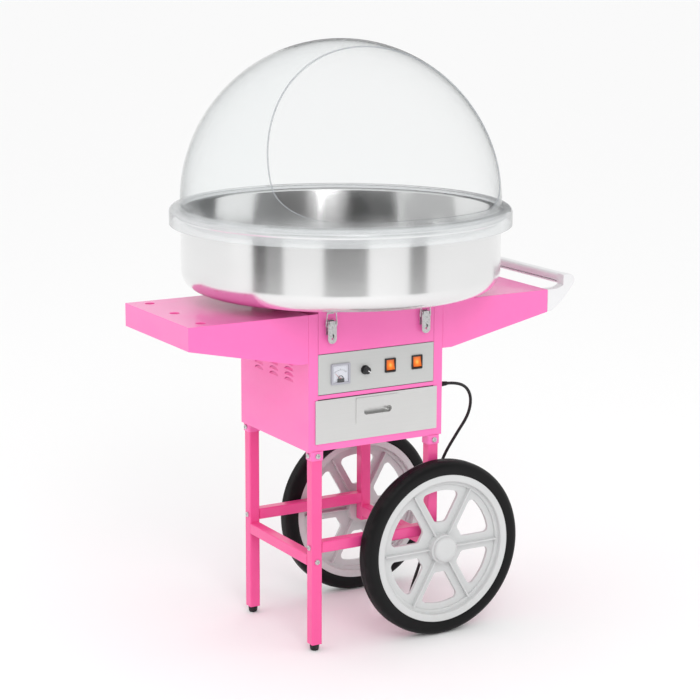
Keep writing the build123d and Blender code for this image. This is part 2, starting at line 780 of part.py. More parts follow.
def control_panel():
    x = machine_w / 2
    body = block(-x, x, front, front + panel_t, panel_z, panel_z + panel_h)
    body -= rod_y(meter_body_d + 1, front - 1, front + panel_t + 1, meter_x, meter_z)
    body -= rod_y(pot_shaft_d + 2, front - 1, front + panel_t + 1, knob_x, control_z)
    for x in rocker_xs:
        w, h = rocker_body_w / 2 + 0.2, rocker_body_h / 2 + 0.2
        body -= block(x - w, x + w, front - 1, front + panel_t + 1, rocker_z - h, rocker_z + h)
    return body


def meter_case():
    y0 = front - meter_proud
    z = meter_z
    bezel = block(meter_x - meter_w / 2, meter_x + meter_w / 2, y0, front,
                  z - meter_h / 2, z + meter_h / 2)
    bezel = fillet(bezel.edges().filter_by(Axis.Y), 2.0)
    body = bezel + rod_y(meter_body_d, front, front + meter_depth, meter_x, z)
    w, h = meter_open_w / 2, meter_open_h / 2
    body -= block(meter_x - w, meter_x + w, y0 - 1, front - 0.6, z - h, z + h)
    return body


def meter_window():
    w, h = meter_open_w / 2 - 0.1, meter_open_h / 2 - 0.1
    y0 = front - meter_proud
    return block(meter_x - w, meter_x + w, y0, y0 + window_t, meter_z - h, meter_z + h)


def meter_needle():
    """Thin pointer on a small boss, leaning to the left end of its scale."""
    boss = rod_y(needle_boss_d, needle_y - 0.7, needle_y + 0.6, 0, 0)
    wide, narrow = 0.8, 0.35
    blade = make_face(Polyline((-wide, -needle_tail), (wide, -needle_tail), (narrow, needle_l),
                               (-narrow, needle_l), close=True))
    arm = Pos(0, needle_y, 0) * extrude(Plane.XZ * blade, amount=0.25, both=True)
    leaning = Rot(0, -45, 0) * (boss + arm)
    return Pos(meter_x, 0, meter_z - needle_drop) * leaning


def heat_knob():
    y0 = front - fold_gap
    body = rod_y(knob_d, y0 - knob_skirt, y0, knob_x, control_z)
    body += rod_y(knob_d - 4, y0 - knob_h, y0, knob_x, control_z)
    body = fillet(body.edges().filter_by(GeomType.CIRCLE).sort_by(Axis.Y)[0:1], 1.5)
    for k in range(knob_flutes):
        turn = math.radians(k * 360 / knob_flutes)
        r = knob_d / 2 - 1.6
        x, z = knob_x + r * math.cos(turn), control_z + r * math.sin(turn)
        body -= rod_y(flute_d, y0 - knob_h - 1, y0 - knob_skirt, x, z)
    body -= rod_y(pot_shaft_d + 2 * turn_fit, y0 - knob_h + 3, y0 + 1, knob_x, control_z)
    return body


def potentiometer():
    y0 = front + panel_t
    body = rod_y(pot_d, y0 + 0.1, y0 + pot_h, knob_x, control_z)
    return body + rod_y(pot_shaft_d, front - knob_h + 4, y0 + 1, knob_x, control_z)


def rocker(x):
    body = Box(rocker_w, rocker_t, rocker_h)
    body = fillet(body.edges().filter_by(Axis.X), 1.0)
    dish = Rot(0, 90, 0) * Cylinder(rocker_dish, rocker_w + 2)
    body -= Pos(0, rocker_dish_depth - rocker_t / 2 - rocker_dish, 0) * dish
    body += Rot(0, 90, 0) * Cylinder(rocker_pivot_d / 2, rocker_w + rocker_pivot_l)
    return Pos(x, rocker_axis_y, rocker_z) * Rot(-rocker_tilt, 0, 0) * body


def rocker_housings():
    pieces = []
    for x in rocker_xs:
        body = block(x - bezel_w / 2, x + bezel_w / 2, front - bezel_t, front,
                     rocker_z - bezel_h / 2, rocker_z + bezel_h / 2)
        body = fillet(body.edges().filter_by(Axis.Y), 2.0)
        w, h = rocker_body_w / 2, rocker_body_h / 2
        body += block(x - w, x + w, front, front + rocker_depth, rocker_z - h, rocker_z + h)
        w = rocker_w / 2 + fold_gap
        h = math.hypot(rocker_h, rocker_t) / 2 + fold_gap
        body -= block(x - w, x + w, front - bezel_t - 1, front + rocker_depth - 5,
                      rocker_z - h, rocker_z + h)
        pieces.append(body)
    return group(*pieces)


def motor():
    body = rod_z(motor_d, motor_z + motor_plate_t, motor_z + motor_h)
    body = fillet(body.edges().filter_by(GeomType.CIRCLE).sort_by(Axis.Z)[-1:], motor_round)
    side = motor_plate / 2
    body += block(-side, side, -side, side, motor_z, motor_z + motor_plate_t)
    for sx in (-1, 1):
        for sy in (-1, 1):
            at = side - pillar_d
            body += rod_z(pillar_d, divider_z + sheet, motor_z + 1, sx * at, sy * at)
    return body - rod_z(shaft_d + 2 * turn_fit, shaft_low - 2, motor_z + motor_h + 1)


def brush_holder():
    x0 = ring_d / 2 + fold_gap
    x1 = machine_w / 2 - sheet
    half = brush_w / 2
    body = block(x0 + 6, x0 + 28, -half, half, ring_z, ring_z + ring_h)
    for k in (0, 1):
        z = ring_z + ring_first + k * ring_pitch
        body += block(x0, x0 + 8, -4, 4, z - 3, z + 3)
    half = brush_arm_w / 2
    z = ring_z + 9
    return body + block(x0 + 27, x1, -half, half, z, z + brush_arm_t)


def control_board():
    z0 = divider_z + sheet
    x, y = board_x, board_y
    top = z0 + board_lift + 1
    half_x, half_y = board_w / 2, board_d / 2
    body = block(x - half_x, x + half_x, y - half_y, y + half_y, z0 + board_lift,
                 z0 + board_lift + board_t)
    for sx in (-1, 1):
        for sy in (-1, 1):
            at_x, at_y = x + sx * (half_x - 6), y + sy * (half_y - 6)
            body += rod_z(6.0, z0, z0 + board_lift + 0.5, at_x, at_y)
    body += rod_z(capacitor_d, top, top + capacitor_h, x - 22, y + 8)
    body += block(x + 2, x + 34, y - 6, y + 22, top, top + sink_h)
    return body + block(x - 30, x + 30, y - 27, y - 17, top, top + terminal_h)


def bowl_buffers():
    pieces = []
    for sx in (-1, 1):
        for sy in (-1, 1):
            at = (sx * buffer_xy, sy * buffer_xy)
            pieces.append(rod_z(buffer_d, machine_top, bowl_bottom - fold_gap, *at))
    return group(*pieces)


# ---- spinner -------------------------------------------------------------------------------
def spinner_shaft():
    return rod_z(shaft_d, shaft_low, head_z + pan_t)


def slip_rings():
    bore_d = shaft_d + 2 * shaft_seat
    body = tube_z(ring_d - 4, bore_d, ring_z, ring_z + ring_h)
    for k in (0, 1):
        z = ring_z + ring_first + k * ring_pitch
        body += tube_z(ring_d, bore_d, z - 4, z + 4)
    return body


def spinner_head():
    """Pan with a hub on the shaft, and the cup in its middle that the sugar goes into."""
    r, cup = head_d / 2, sugar_cup_d / 2
    wall = r - 3
    floor_z = head_z + pan_t
    lip = floor_z + pan_lip
    cup_top = head_z + head_h - 16
    hub_low = head_z - 12
    bore = shaft_d / 2 + shaft_seat
    return turned([(bore, hub_low), (bore + 10, hub_low), (bore + 10, head_z), (r, head_z),
                   (r, lip), (wall, lip), (wall, floor_z), (cup, floor_z), (cup, cup_top),
                   (cup - 2, cup_top), (cup - 2, floor_z), (bore + 8, floor_z),
                   (bore + 2, floor_z + 10), (0, floor_z + 12), (0, floor_z + shaft_seat),
                   (bore, floor_z + shaft_seat)])


def spinner_band():
    """Drum with upright slots that the melted sugar flies out of, under a turned-in lip."""
    r = head_d / 2 - 3 - seam
    z0, z1 = head_z + pan_t + seam, head_z + head_h
    inner = sugar_cup_d / 2 - 6
    body = turned([(r - band_t, z0), (r, z0), (r, z1), (inner, z1), (inner, z1 - band_t),
                   (r - band_t, z1 - band_t)])
    half = band_slot_w / 2
    slot = block(r - 2 * band_t, r + 1, -half, half, z0 + 12, z1 - 10)
    for k in range(band_slots):
        body -= Rot(0, 0, k * 360 / band_slots) * slot
    return body


def heater_ring():
    """Ribbon heater: a stack of flat turns on four upright insulators."""
    z0 = head_z + pan_t
    r = heater_d / 2
    z = z0 + heater_first
    body = tube_z(heater_d, heater_d - 6, z, z + heater_turn)
    for k in range(1, heater_turns):
        z = z0 + heater_first + heater_pitch * k
        body += tube_z(heater_d, heater_d - 6, z, z + heater_turn)
    for k in range(4):
        post = block(r - 7, r + 1, -3, 3, z0, z0 + insulator_h)
        body += Rot(0, 0, 45 + 90 * k) * post
    return body


# ---- bowl and dome ---------------------------------------------------------------------------
def bowl():
    r, t = bowl_d / 2, bowl_t
    hole = bowl_hole_d / 2
    z0 = bowl_bottom
    roll = roll_d / 2
    wall_top = bowl_rim_z - roll_d / 2
    outline = [(hole, z0), (r, z0), (r, wall_top), (r - t, wall_top), (r - t, z0 + t),
               (hole + t, z0 + t), (hole + t, z0 + bowl_lip_h), (hole, z0 + bowl_lip_h)]
    body = turned(outline, [(1, bowl_corner), (4, bowl_corner - t)])
    body += Pos(0, 0, bowl_rim_z - roll) * Torus(r - t / 2 + roll / 2, roll)
    y0 = front - latch_t
    for sx in (-1, 1):
        x0, x1 = sx * latch_x - keeper_w / 2, sx * latch_x + keeper_w / 2
        body += block(x0, x1, y0 - latch_t, y0, keeper_low, z0 + t / 2)
        body += block(x0, x1, y0 - latch_t - keeper_hook, y0, keeper_low, keeper_low + latch_t)
    return body


def dome_shell(inset):
    """Half section of the dome, inset from its outer skin, as a turned solid."""
    r = dome_r - inset
    rim = flange_r - inset
    shoulder = flange_top - inset
    neck = math.sqrt(r * r - (dome_z - shoulder) ** 2)
    low = flange_low - (1 if inset else 0)
    profile = make_face([
        Line((0, low), (rim, low)),
        Line((rim, low), (rim, shoulder - flange_round)),
        RadiusArc((rim, shoulder - flange_round), (rim - flange_round, shoulder), -flange_round),
        Line((rim - flange_round, shoulder), (neck, shoulder)),
        ThreePointArc((neck, shoulder), (r * math.cos(0.8), dome_z + r * math.sin(0.8)),
                      (0, dome_z + r)),
        Line((0, dome_z + r), (0, low)),
    ])
    return revolve(Plane.XZ * profile, Axis.Z)


def dome():
    body = dome_shell(0) - dome_shell(dome_t)
    seat = bowl_d / 2 + 2
    ledge = bowl_rim_z + fold_gap
    body += tube_z(2 * (seat + ledge_w), 2 * seat, ledge, flange_top - dome_t / 2)
    return body - dome_opening()


def dome_opening():
    """Region in front of a sloping plane and above a level edge, with a large inner corner."""
    slope = math.radians(cut_tilt)

    def plane_y(z):
        return (math.sin(slope) * (z - dome_z) - cut_distance) / math.cos(slope)

    high = dome_z + dome_r + cut_spare
    far = -flange_r - cut_spare
    corners = [(plane_y(cut_low), cut_low), (far, cut_low), (far, high), (plane_y(high), high)]
    face = Plane.YZ * make_face(Polyline(*corners, close=True))
    inner = face.vertices().sort_by_distance(Vector(0, corners[0][0], corners[0][1]))[0]
    return extrude(fillet(inner, cut_round), amount=flange_r, both=True)


# ---- latches ------------------------------------------------------------------------------------
def latch_base(x):
    y = front - latch_pivot_y
    z = latch_pivot_z
    w = latch_base_w / 2
    body = block(x - w, x + w, front - latch_t, front, z - latch_base_low, z + latch_base_top)
    for sx in (-1, 1):
        x0, x1 = x + sx * w, x + sx * (w - latch_t)
        ear = block(x0, x1, y, front - latch_t, z - latch_ear, z + latch_ear)
        body += ear + rod_x(2 * latch_ear, x0, x1, y, z)
    return body - rod_x(latch_pin_d + 2 * turn_fit, x - w - 1, x + w + 1, y, z)


def latch_lever(x):
    """Hasp lever: a plate with a round end, two ears, and the pin that it turns on."""
    y = front - latch_pivot_y
    z = latch_pivot_z
    w = latch_w / 2
    y_back = y - latch_stand
    plate = block(x - w, x + w, y_back - latch_t, y_back, z - latch_low + w, z + latch_top)
    plate += rod_y(latch_w, y_back - latch_t, y_back, x, z - latch_low + w)
    body = plate - rod_y(latch_hole_d, y_back - latch_t - 1, y_back + 1, x, z - latch_low + w)
    ear_in = latch_base_w / 2 + fold_gap
    slot_in = latch_base_w / 2 - latch_t - fold_gap
    for sx in (-1, 1):
        body -= block(x + sx * slot_in, x + sx * ear_in, y_back - latch_t - 1, y_back + 0.1,
                      z - latch_slot, z + latch_top + 1)
    ear = lever_ear_d / 2
    for sx in (-1, 1):
        x0, x1 = x + sx * ear_in, x + sx * w
        body += block(x0, x1, y_back - 0.5, y, z - bail_drop - ear, z + ear)
        body += rod_x(lever_ear_d, x0, x1, y, z)
        body += rod_x(lever_ear_d, x0, x1, y, z - bail_drop)
    body += rod_x(latch_pin_d, x - w, x + w, y, z)
    return body - rod_x(bail_wire + 2 * turn_fit, x - w - 1, x + w + 1, y, z - bail_drop)


def latch_bail(x):
    """Wire loop on the lever's ears, standing up in front of the keeper."""
    y = front - latch_pivot_y
    z = latch_pivot_z - bail_drop
    low, top = bail_low_w / 2, bail_top_w / 2
    stub = latch_base_w / 2 + fold_gap + 0.1
    lean = y - bail_lean
    path = FilletPolyline(
        (x - stub, y, z), (x - low, y, z), (x - top, lean, z + bail_h),
        (x + top, lean, z + bail_h), (x + low, y, z), (x + stub, y, z),
        radius=bail_wire,
    )
    start = Plane(origin=path @ 0, z_dir=path % 0)
    return sweep(start * Circle(bail_wire / 2), path=path)


# ---- mains lead -----------------------------------------------------------------------------------
def cord_gland():
    x0 = half_w
    half = gland_nut_l / 2
    nut = Pos(x0 + half, gland_y, gland_z) * Rot(0, 90, 0) * extrude(
        RegularPolygon(gland_hex / 2, 6, major_radius=False), amount=half, both=True)
    stem = rod_x(gland_d, x0 - sheet - 8, x0 + gland_nut_l, gland_y, gland_z)
    taper = gland_l - gland_nut_l
    cone = Pos(x0 + gland_nut_l + taper / 2, gland_y, gland_z) * Rot(0, 90, 0) * Cone(
        gland_d / 2, cord_d / 2 + 1.2, taper)
    return nut + stem + cone


def corner_radii(points):
    """Each arc takes 0.45 of the shorter of its two runs."""
    radii = []
    for a, b, c in zip(points, points[1:], points[2:]):
        before, after = Vector(*b) - Vector(*a), Vector(*c) - Vector(*b)
        half_turn = math.radians(before.get_angle(after)) / 2
        radii.append(0.45 * min(before.length, after.length) / math.tan(half_turn))
    return radii


def cord():
    radii = corner_radii(cord_route)
    path = FilletPolyline(*cord_route, radius=radii)
    start = Plane(origin=path @ 0, z_dir=path % 0)
    body = sweep(start * Circle(cord_d / 2), path=path)
    section = math.pi * cord_d ** 2 / 4
    print("cord radii", [round(r) for r in radii])
    print("cord length", round(path.length, 1), "volume over section x length",
          round(body.volume / (section * path.length), 4))
    return body


def cord_coil():
    mid = coil_mid_d / 2
    half = coil_columns * cord_d / 2
    body = tube_z(2 * (mid + half), 2 * (mid - half), cord_low - cord_d / 2,
                  cord_low - cord_d / 2 + coil_layers * cord_d)
    return Pos(coil_x, coil_y, 0) * body


def plug():
    """Moulded plug lying beside the coil: neck, body, two round pins, pointing to -X."""
    y = coil_y + coil_mid_d / 2 + cord_d / 2
    z = plug_h / 2 + 0.1
    x0 = coil_x - plug_back
    body = Box(plug_l, plug_w, plug_h)
    body = fillet(body.edges().filter_by(Axis.X), plug_h / 2 - 1)
    x1 = x0 - plug_neck_l
    solid = Pos(x1 - plug_l / 2, y, z) * body
    neck = Pos((x0 + x1) / 2, y, z) * Rot(0, -90, 0) * Cone(
        cord_d / 2 + 1.0, plug_neck_d / 2, plug_neck_l)
    solid += neck
    for side in (-1, 1):
        solid += rod_x(plug_pin_d, x1 - plug_l - plug_pin_l, x1 - plug_l + 1,
                       y + side * plug_pin_step / 2, z)
    return solid


def main():
    os.makedirs("parts", exist_ok=True)
    for sx, end in ((-1, "left"), (1, "right")):
        for sy, side in ((-1, "front"), (1, "rear")):
            save("leg_" + side + "_" + end, leg(sx, sy))
        save("rail_" + end, crosswise_rail(sx))
        save("side_panel_" + end, side_panel(sx))
        save("shelf_" + end, shelf(sx))
        save("latch_lever_" + end, latch_lever(sx * latch_x))
        save("latch_bail_" + end, latch_bail(sx * latch_x))
    for sy, side in ((-1, "front"), (1, "rear")):
        save("rail_" + side, lengthwise_rail(sy))
        save("tyre_" + side, outward(sy, tyre()))
        save("wheel_" + side, outward(sy, wheel_body()))
        save("hub_cap_" + side, outward(sy, hub_cap()))
    save("rubber_feet", group(*[Pos(-leg_x, sy * leg_y, 0) * foot() for sy in (-1, 1)]))
    save("axle", axle())
    save("fasteners", fasteners())
    save("cabinet_floor", cabinet_floor())
    save("back_panel", back_panel())
    save("divider_plate", divider_plate())
    save("handle_grip", grip())
    save("handle_horns", group(horn(-1), horn(1)))
    save("drawer_runners", drawer_runners())
    save("drawer_front", drawer_front())
    save("drawer_pull", drawer_pull())
    save("drawer_box", drawer_box())
    save("machine_housing", machine_housing())
    save("control_panel", control_panel())
    save("meter_case", meter_case())
    save("meter_window", meter_window())
    save("meter_needle", meter_needle())
    save("heat_knob", heat_knob())
    save("potentiometer", potentiometer())
    save("power_rocker", rocker(rocker_xs[0]))
    save("heat_rocker", rocker(rocker_xs[1]))
    save("rocker_housings", rocker_housings())
    save("motor", motor())
    save("brush_holder", brush_holder())
    save("control_board", control_board())
    save("bowl_buffers", bowl_buffers())
    save("spinner_shaft", spinner_shaft())
    save("slip_rings", slip_rings())
    save("spinner_head", spinner_head())
    save("spinner_band", spinner_band())
    save("heater_ring", heater_ring())
    save("bowl", bowl())
    save("dome", dome())
    save("latch_bases", group(latch_base(-latch_x), latch_base(latch_x)))
    save("cord_gland", cord_gland())
    save("cord", cord())
    save("cord_coil", cord_coil())
    save("plug", plug())


main()
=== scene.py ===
# %% [markdown]
# # Candy-floss cart
# The engineered model comes in as a fixed frame: every panel, wheel and switch already has its true place
# and size. Here it gets its looks. A piece whose shape is right keeps its mesh and gets a finish, and a
# piece that needs rounder edges or finer detail is modelled again in the same place.

# %% Load the frame
import math

import bpy
from mathutils import Matrix, Vector


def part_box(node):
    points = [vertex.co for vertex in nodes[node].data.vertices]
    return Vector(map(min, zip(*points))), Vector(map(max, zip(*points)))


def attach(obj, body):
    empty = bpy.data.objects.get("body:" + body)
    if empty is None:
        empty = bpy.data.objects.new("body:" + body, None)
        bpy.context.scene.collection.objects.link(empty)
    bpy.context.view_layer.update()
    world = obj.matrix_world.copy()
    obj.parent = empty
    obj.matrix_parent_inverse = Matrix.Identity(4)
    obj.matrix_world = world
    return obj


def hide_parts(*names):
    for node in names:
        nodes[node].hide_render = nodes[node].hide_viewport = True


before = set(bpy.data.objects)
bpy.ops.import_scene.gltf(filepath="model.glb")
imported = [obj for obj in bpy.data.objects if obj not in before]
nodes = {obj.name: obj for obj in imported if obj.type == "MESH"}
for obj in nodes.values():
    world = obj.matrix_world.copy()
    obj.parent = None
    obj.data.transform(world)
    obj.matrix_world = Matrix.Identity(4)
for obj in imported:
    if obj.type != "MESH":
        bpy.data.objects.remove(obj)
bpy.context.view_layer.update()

print("frame nodes:", len(nodes))

# %% [markdown]
# Everything round on the machine shares one upright axis, so that axis is read from the bowl's box once.
# The other places are read from the boxes of the pieces themselves.

# %% Places read from the frame
def middle(node):
    low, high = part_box(node)
    return (low + high) / 2


axis_x = middle("bowl").x
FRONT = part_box("control_panel")[0].y
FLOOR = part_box("rubber_feet")[0].z
print("bowl axis at x =", round(axis_x, 4), "front plane at y =", round(FRONT, 4))

# %% [markdown]
# The camera stands to the left of the cart at chest height and far away, with a long lens, so the upright
# legs stay nearly parallel. Its turn is built from three plain rotations: tilt, turn about the upright, roll.

# %% Camera
CAMERA_FROM_AXIS = Vector((-2.2118, -3.8392, 1.5742))
CAMERA_TURN = 30.22
CAMERA_DOWN = 12.06
CAMERA_ROLL = 0.22
LENS = 105.05

camera_data = bpy.data.cameras.new("camera")
camera = bpy.data.objects.new("camera", camera_data)
bpy.context.scene.collection.objects.link(camera)
camera_data.sensor_width = 36
camera_data.lens = LENS
camera_data.clip_end = 120
turn = Matrix.Rotation(math.radians(-CAMERA_TURN), 4, "Z")
tilt = Matrix.Rotation(math.radians(90 - CAMERA_DOWN), 4, "X")
roll = Matrix.Rotation(math.radians(CAMERA_ROLL), 4, "Z")
stand = Matrix.Translation(CAMERA_FROM_AXIS + Vector((axis_x, 0, 0)))
camera.matrix_world = stand @ turn @ tilt @ roll
bpy.context.scene.camera = camera
print("camera at", [round(v, 3) for v in camera.location])

# %% [markdown]
# The mains lead is one smooth curve. It leaves the gland on the right side, falls behind the near leg and
# wheel, and the rest of its length lies in a neat coil on the floor. A NURBS curve is the right tool: its
# points pull the line without kinking it. Order 3 has to be set after the points are there.

# %% Mains lead
CORD_D = 0.007
CORD_LOW = 0.0036
POINT_SIZE = 0.001  # bevel depth times this is the real radius; a small one keeps the curve's box tight
COIL = Vector((axis_x + 0.190, -0.097, 0))
COIL_MID = 0.042
COIL_POINTS = 16
COIL_TURNS = 3.5
gland_low, gland_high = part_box("cord_gland")
plug_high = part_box("plug")[1]
cord_exit = Vector((gland_high.x, -0.127, 0.555))
lead = [
    cord_exit,
    Vector((axis_x + 0.238, -0.125, 0.553)),
    Vector((axis_x + 0.272, -0.117, 0.522)),
    Vector((axis_x + 0.274, -0.108, 0.474)),
    Vector((axis_x + 0.244, -0.101, 0.428)),
    Vector((axis_x + 0.212, -0.096, 0.378)),
    Vector((axis_x + 0.194, -0.093, 0.320)),
    Vector((axis_x + 0.185, -0.091, 0.258)),
    Vector((axis_x + 0.175, -0.093, 0.196)),
    Vector((axis_x + 0.154, -0.098, 0.140)),
    Vector((axis_x + 0.126, -0.107, 0.088)),
    Vector((axis_x + 0.108, -0.121, 0.052)),
    Vector((axis_x + 0.114, -0.133, 0.020)),
    Vector((axis_x + 0.140, -0.141, CORD_LOW)),
    Vector((axis_x + 0.168, -0.1425, CORD_LOW)),
]


def coil_point(turns):
    """Place on the coil: outer turn, inner turn, then the same two on top."""
    swing = math.radians(-90 + 360 * turns)
    column = min(max(1.5 - abs(turns - 1.75), 0.0), 1.0)
    layer = min(max((turns - 1.4) / 0.6, 0.0), 1.0)
    radius = (COIL_MID + CORD_D / 2 - CORD_D * column) / math.cos(math.pi / COIL_POINTS) ** 0.7
    height = CORD_LOW + CORD_D * layer
    return COIL + Vector((radius * math.cos(swing), radius * math.sin(swing), height))


lead += [coil_point(k / COIL_POINTS) for k in range(int(COIL_TURNS * COIL_POINTS) + 1)]
lead.append(Vector((plug_high.x + 0.008, middle("plug").y, middle("plug").z - 0.001)))
lead.append(Vector((plug_high.x - 0.004, middle("plug").y, middle("plug").z)))

cord_curve = bpy.data.curves.new("mains_lead", "CURVE")
cord_curve.dimensions = "3D"
spline = cord_curve.splines.new("NURBS")
spline.points.add(len(lead) - 1)
for point, place in zip(spline.points, lead):
    point.co = (*place, 1)
    point.radius = POINT_SIZE
spline.order_u = 3
spline.use_endpoint_u = True
spline.resolution_u = 6
cord_curve.bevel_depth = CORD_D / 2 / POINT_SIZE
cord_curve.bevel_resolution = 4
cord_curve.use_fill_caps = True
mains_lead = bpy.data.objects.new("mains_lead", cord_curve)
bpy.context.scene.collection.objects.link(mains_lead)
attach(mains_lead, "cart")
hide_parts("cord", "cord_coil")
print("lead points:", len(lead))

# %% [markdown]
# The floor is plain and pale, and reaches past the top of the frame so that no horizon shows. The room
# round it is plain too, and its light comes a few cells further on, once the shader helpers are there.

# %% Floor and room
FLOOR_SIZE = 110
ROOM_LIGHT = 1.0
bpy.ops.object.select_all(action="DESELECT")
bpy.ops.mesh.primitive_plane_add(size=FLOOR_SIZE, location=(0, 0, FLOOR - 0.0005))
floor = bpy.context.active_object
floor.name = "studio_floor"
floor_paint = bpy.data.materials.new("floor_paint")
floor_paint.use_nodes = True
floor_surface = floor_paint.node_tree.nodes["Principled BSDF"]
floor_surface.inputs["Base Color"].default_value = (0.955, 0.955, 0.955, 1)
floor_surface.inputs["Roughness"].default_value = 0.95
floor_surface.inputs["Specular IOR Level"].default_value = 0.1
floor.data.materials.append(floor_paint)

room = bpy.data.worlds.new("studio_room")
bpy.context.scene.world = room
room.use_nodes = True
bpy.context.scene.view_settings.view_transform = "Standard"
print("floor size:", FLOOR_SIZE, "m")

# %% [markdown]
# Shader recipes read best as sums. `Signal` wraps one number in a shader, so that `1 - mask * 0.2` adds the
# Math nodes by itself. `Finish` holds one material and adds every other kind of node by one method.

# %% Signals and finishes
class Signal:
    """One number running through a shader, with plain arithmetic."""

    def __init__(self, finish, socket):
        self.finish = finish
        self.socket = socket

    def sum_of(self, operation, first, second):
        return self.finish.node("ShaderNodeMath", {"operation": operation}, {0: first, 1: second})

    def __add__(self, other):
        return self.sum_of("ADD", self, other)

    def __radd__(self, other):
        return self.sum_of("ADD", other, self)

    def __sub__(self, other):
        return self.sum_of("SUBTRACT", self, other)

    def __rsub__(self, other):
        return self.sum_of("SUBTRACT", other, self)

    def __mul__(self, other):
        return self.sum_of("MULTIPLY", self, other)

    def __truediv__(self, other):
        return self.sum_of("DIVIDE", self, other)

    def __pow__(self, other):
        return self.sum_of("POWER", self, other)

    def ramp(self, low, high):
        """0 below low, 1 above high, and a soft slope between."""
        return self.finish.node("ShaderNodeMapRange", {"interpolation_type": "SMOOTHSTEP"},
                                {"Value": self, "From Min": low, "From Max": high})


class Finish:
    """One material: plain values go on the surface, and signals are driven into it."""

    def __init__(self, name, **plain):
        self.material = bpy.data.materials.new(name)
        self.material.use_nodes = True
        self.tree = self.material.node_tree
        self.surface = self.tree.nodes["Principled BSDF"]
        for socket, value in plain.items():
            self.plain(socket.replace("_", " "), value)
        self.object_place = None

    def plain(self, socket, value):
        if isinstance(value, tuple):
            value = (*value, 1)
        self.surface.inputs[socket].default_value = value

    def node(self, kind, settings=None, inputs=None, output=0):
        made = self.tree.nodes.new(kind)
        for setting, value in (settings or {}).items():
            setattr(made, setting, value)
        for socket, value in (inputs or {}).items():
            if isinstance(value, Signal):
                self.tree.links.new(value.socket, made.inputs[socket])
            else:
                made.inputs[socket].default_value = value
        return Signal(self, made.outputs[output])

    def drive(self, socket, signal):
        self.tree.links.new(signal.socket, self.surface.inputs[socket])

    def place(self):
        """Object coordinates, which stay fixed to the piece."""
        if self.object_place is None:
            self.object_place = self.node("ShaderNodeTexCoord", output="Object")
        return self.object_place

    def split(self, vector, centre=(0, 0, 0)):
        moved = self.node("ShaderNodeVectorMath", {"operation": "SUBTRACT"}, {0: vector, 1: centre})
        return [self.node("ShaderNodeSeparateXYZ", None, {0: moved}, axis) for axis in range(3)]

    def join(self, x, y, z):
        return self.node("ShaderNodeCombineXYZ", None, {0: x, 1: y, 2: z})

    def noise(self, scale, detail=3.0, stretch=(1, 1, 1), vector=None, roughness=0.55):
        where = self.node("ShaderNodeVectorMath", {"operation": "MULTIPLY"},
                          {0: vector or self.place(), 1: stretch})
        return self.node("ShaderNodeTexNoise", None,
                         {"Vector": where, "Scale": scale, "Detail": detail, "Roughness": roughness})

    def mix(self, factor, first, second):
        return self.node("ShaderNodeMix", {"data_type": "RGBA"},
                         {0: factor, 6: colour(first), 7: colour(second)}, 2)

    def bump(self, height, strength, distance=0.001):
        self.drive("Normal", self.node("ShaderNodeBump", None, {
            "Height": height, "Strength": strength, "Distance": distance}))


def colour(value):
    return (*value, 1) if isinstance(value, tuple) else value


finishes = {}
print("shader helpers ready")

# %% [markdown]
# The room is white all round. Two soft lamps give the panels their shape: one high in front, and a weaker one
# at the left. Anything stronger would burn out the pink.

# %% Light of the room
room_light = room.node_tree.nodes["Background"]
room_light.inputs["Color"].default_value = (1, 1, 1, 1)
room_light.inputs["Strength"].default_value = ROOM_LIGHT


def soft_light(name, place, aim, size, power):
    data = bpy.data.lights.new(name, "AREA")
    data.shape = "RECTANGLE"
    data.size, data.size_y = size
    data.energy = power
    lamp = bpy.data.objects.new(name, data)
    bpy.context.scene.collection.objects.link(lamp)
    lamp.location = place
    lamp.rotation_euler = (Vector(aim) - Vector(place)).to_track_quat("-Z", "Y").to_euler()


soft_light("key", (-1.2, -3.4, 3.0), (0, 0, 0.7), (1.6, 1.6), 40)
soft_light("side_fill", (-3.4, 0.4, 1.8), (0, 0, 0.7), (1.6, 2.4), 8)
print("room lit")

# %% [markdown]
# ## Finishes
# The body is steel with a glossy pink powder coat. Up close the coat has a soft orange-peel skin, its tint
# drifts a little from panel to panel, and hands and cloths leave it slightly duller in patches.

# %% Pink powder coat
def powder_coat(name, light, deep, gloss):
    coat = Finish(name, Specular_IOR_Level=0.5, Coat_Roughness=0.08)
    drift = coat.noise(5.0, 2.0)
    fine = coat.noise(60.0, 2.0)
    wipes = coat.noise(9.0, 4.0, (1, 1, 3)).ramp(0.45, 0.75)
    coat.drive("Base Color", coat.mix(drift * 0.7 + fine * 0.3, deep, light))
    coat.drive("Roughness", gloss + wipes * 0.08 + fine * 0.03)
    coat.drive("Coat Weight", 0.35 - wipes * 0.15)
    coat.bump(coat.noise(700.0, 2.0) + coat.noise(240.0, 1.0) * 0.6, 0.06)
    finishes[name] = coat.material


PINK_LIGHT = (0.955, 0.185, 0.520)
PINK_DEEP = (0.920, 0.145, 0.460)
powder_coat("pink_paint", PINK_LIGHT, PINK_DEEP, 0.30)
# The frame's coat is darker and redder than the panels' coat: partly the frame's own tint, partly painted
# shade for the legs and rails, which stand low, below the cabinet.
SHADED_FRAME_LIGHT = (0.92, 0.095, 0.345)
SHADED_FRAME_DEEP = (0.85, 0.068, 0.290)
powder_coat("pink_frame", SHADED_FRAME_LIGHT, SHADED_FRAME_DEEP, 0.34)
print("powder coats made")

# %% [markdown]
# The bowl is stainless sheet, spun on a lathe and brushed, so its fine lines run round the axis: round the
# wall, and in rings on its floor. Lines that follow the making are what tells steel from grey paint.

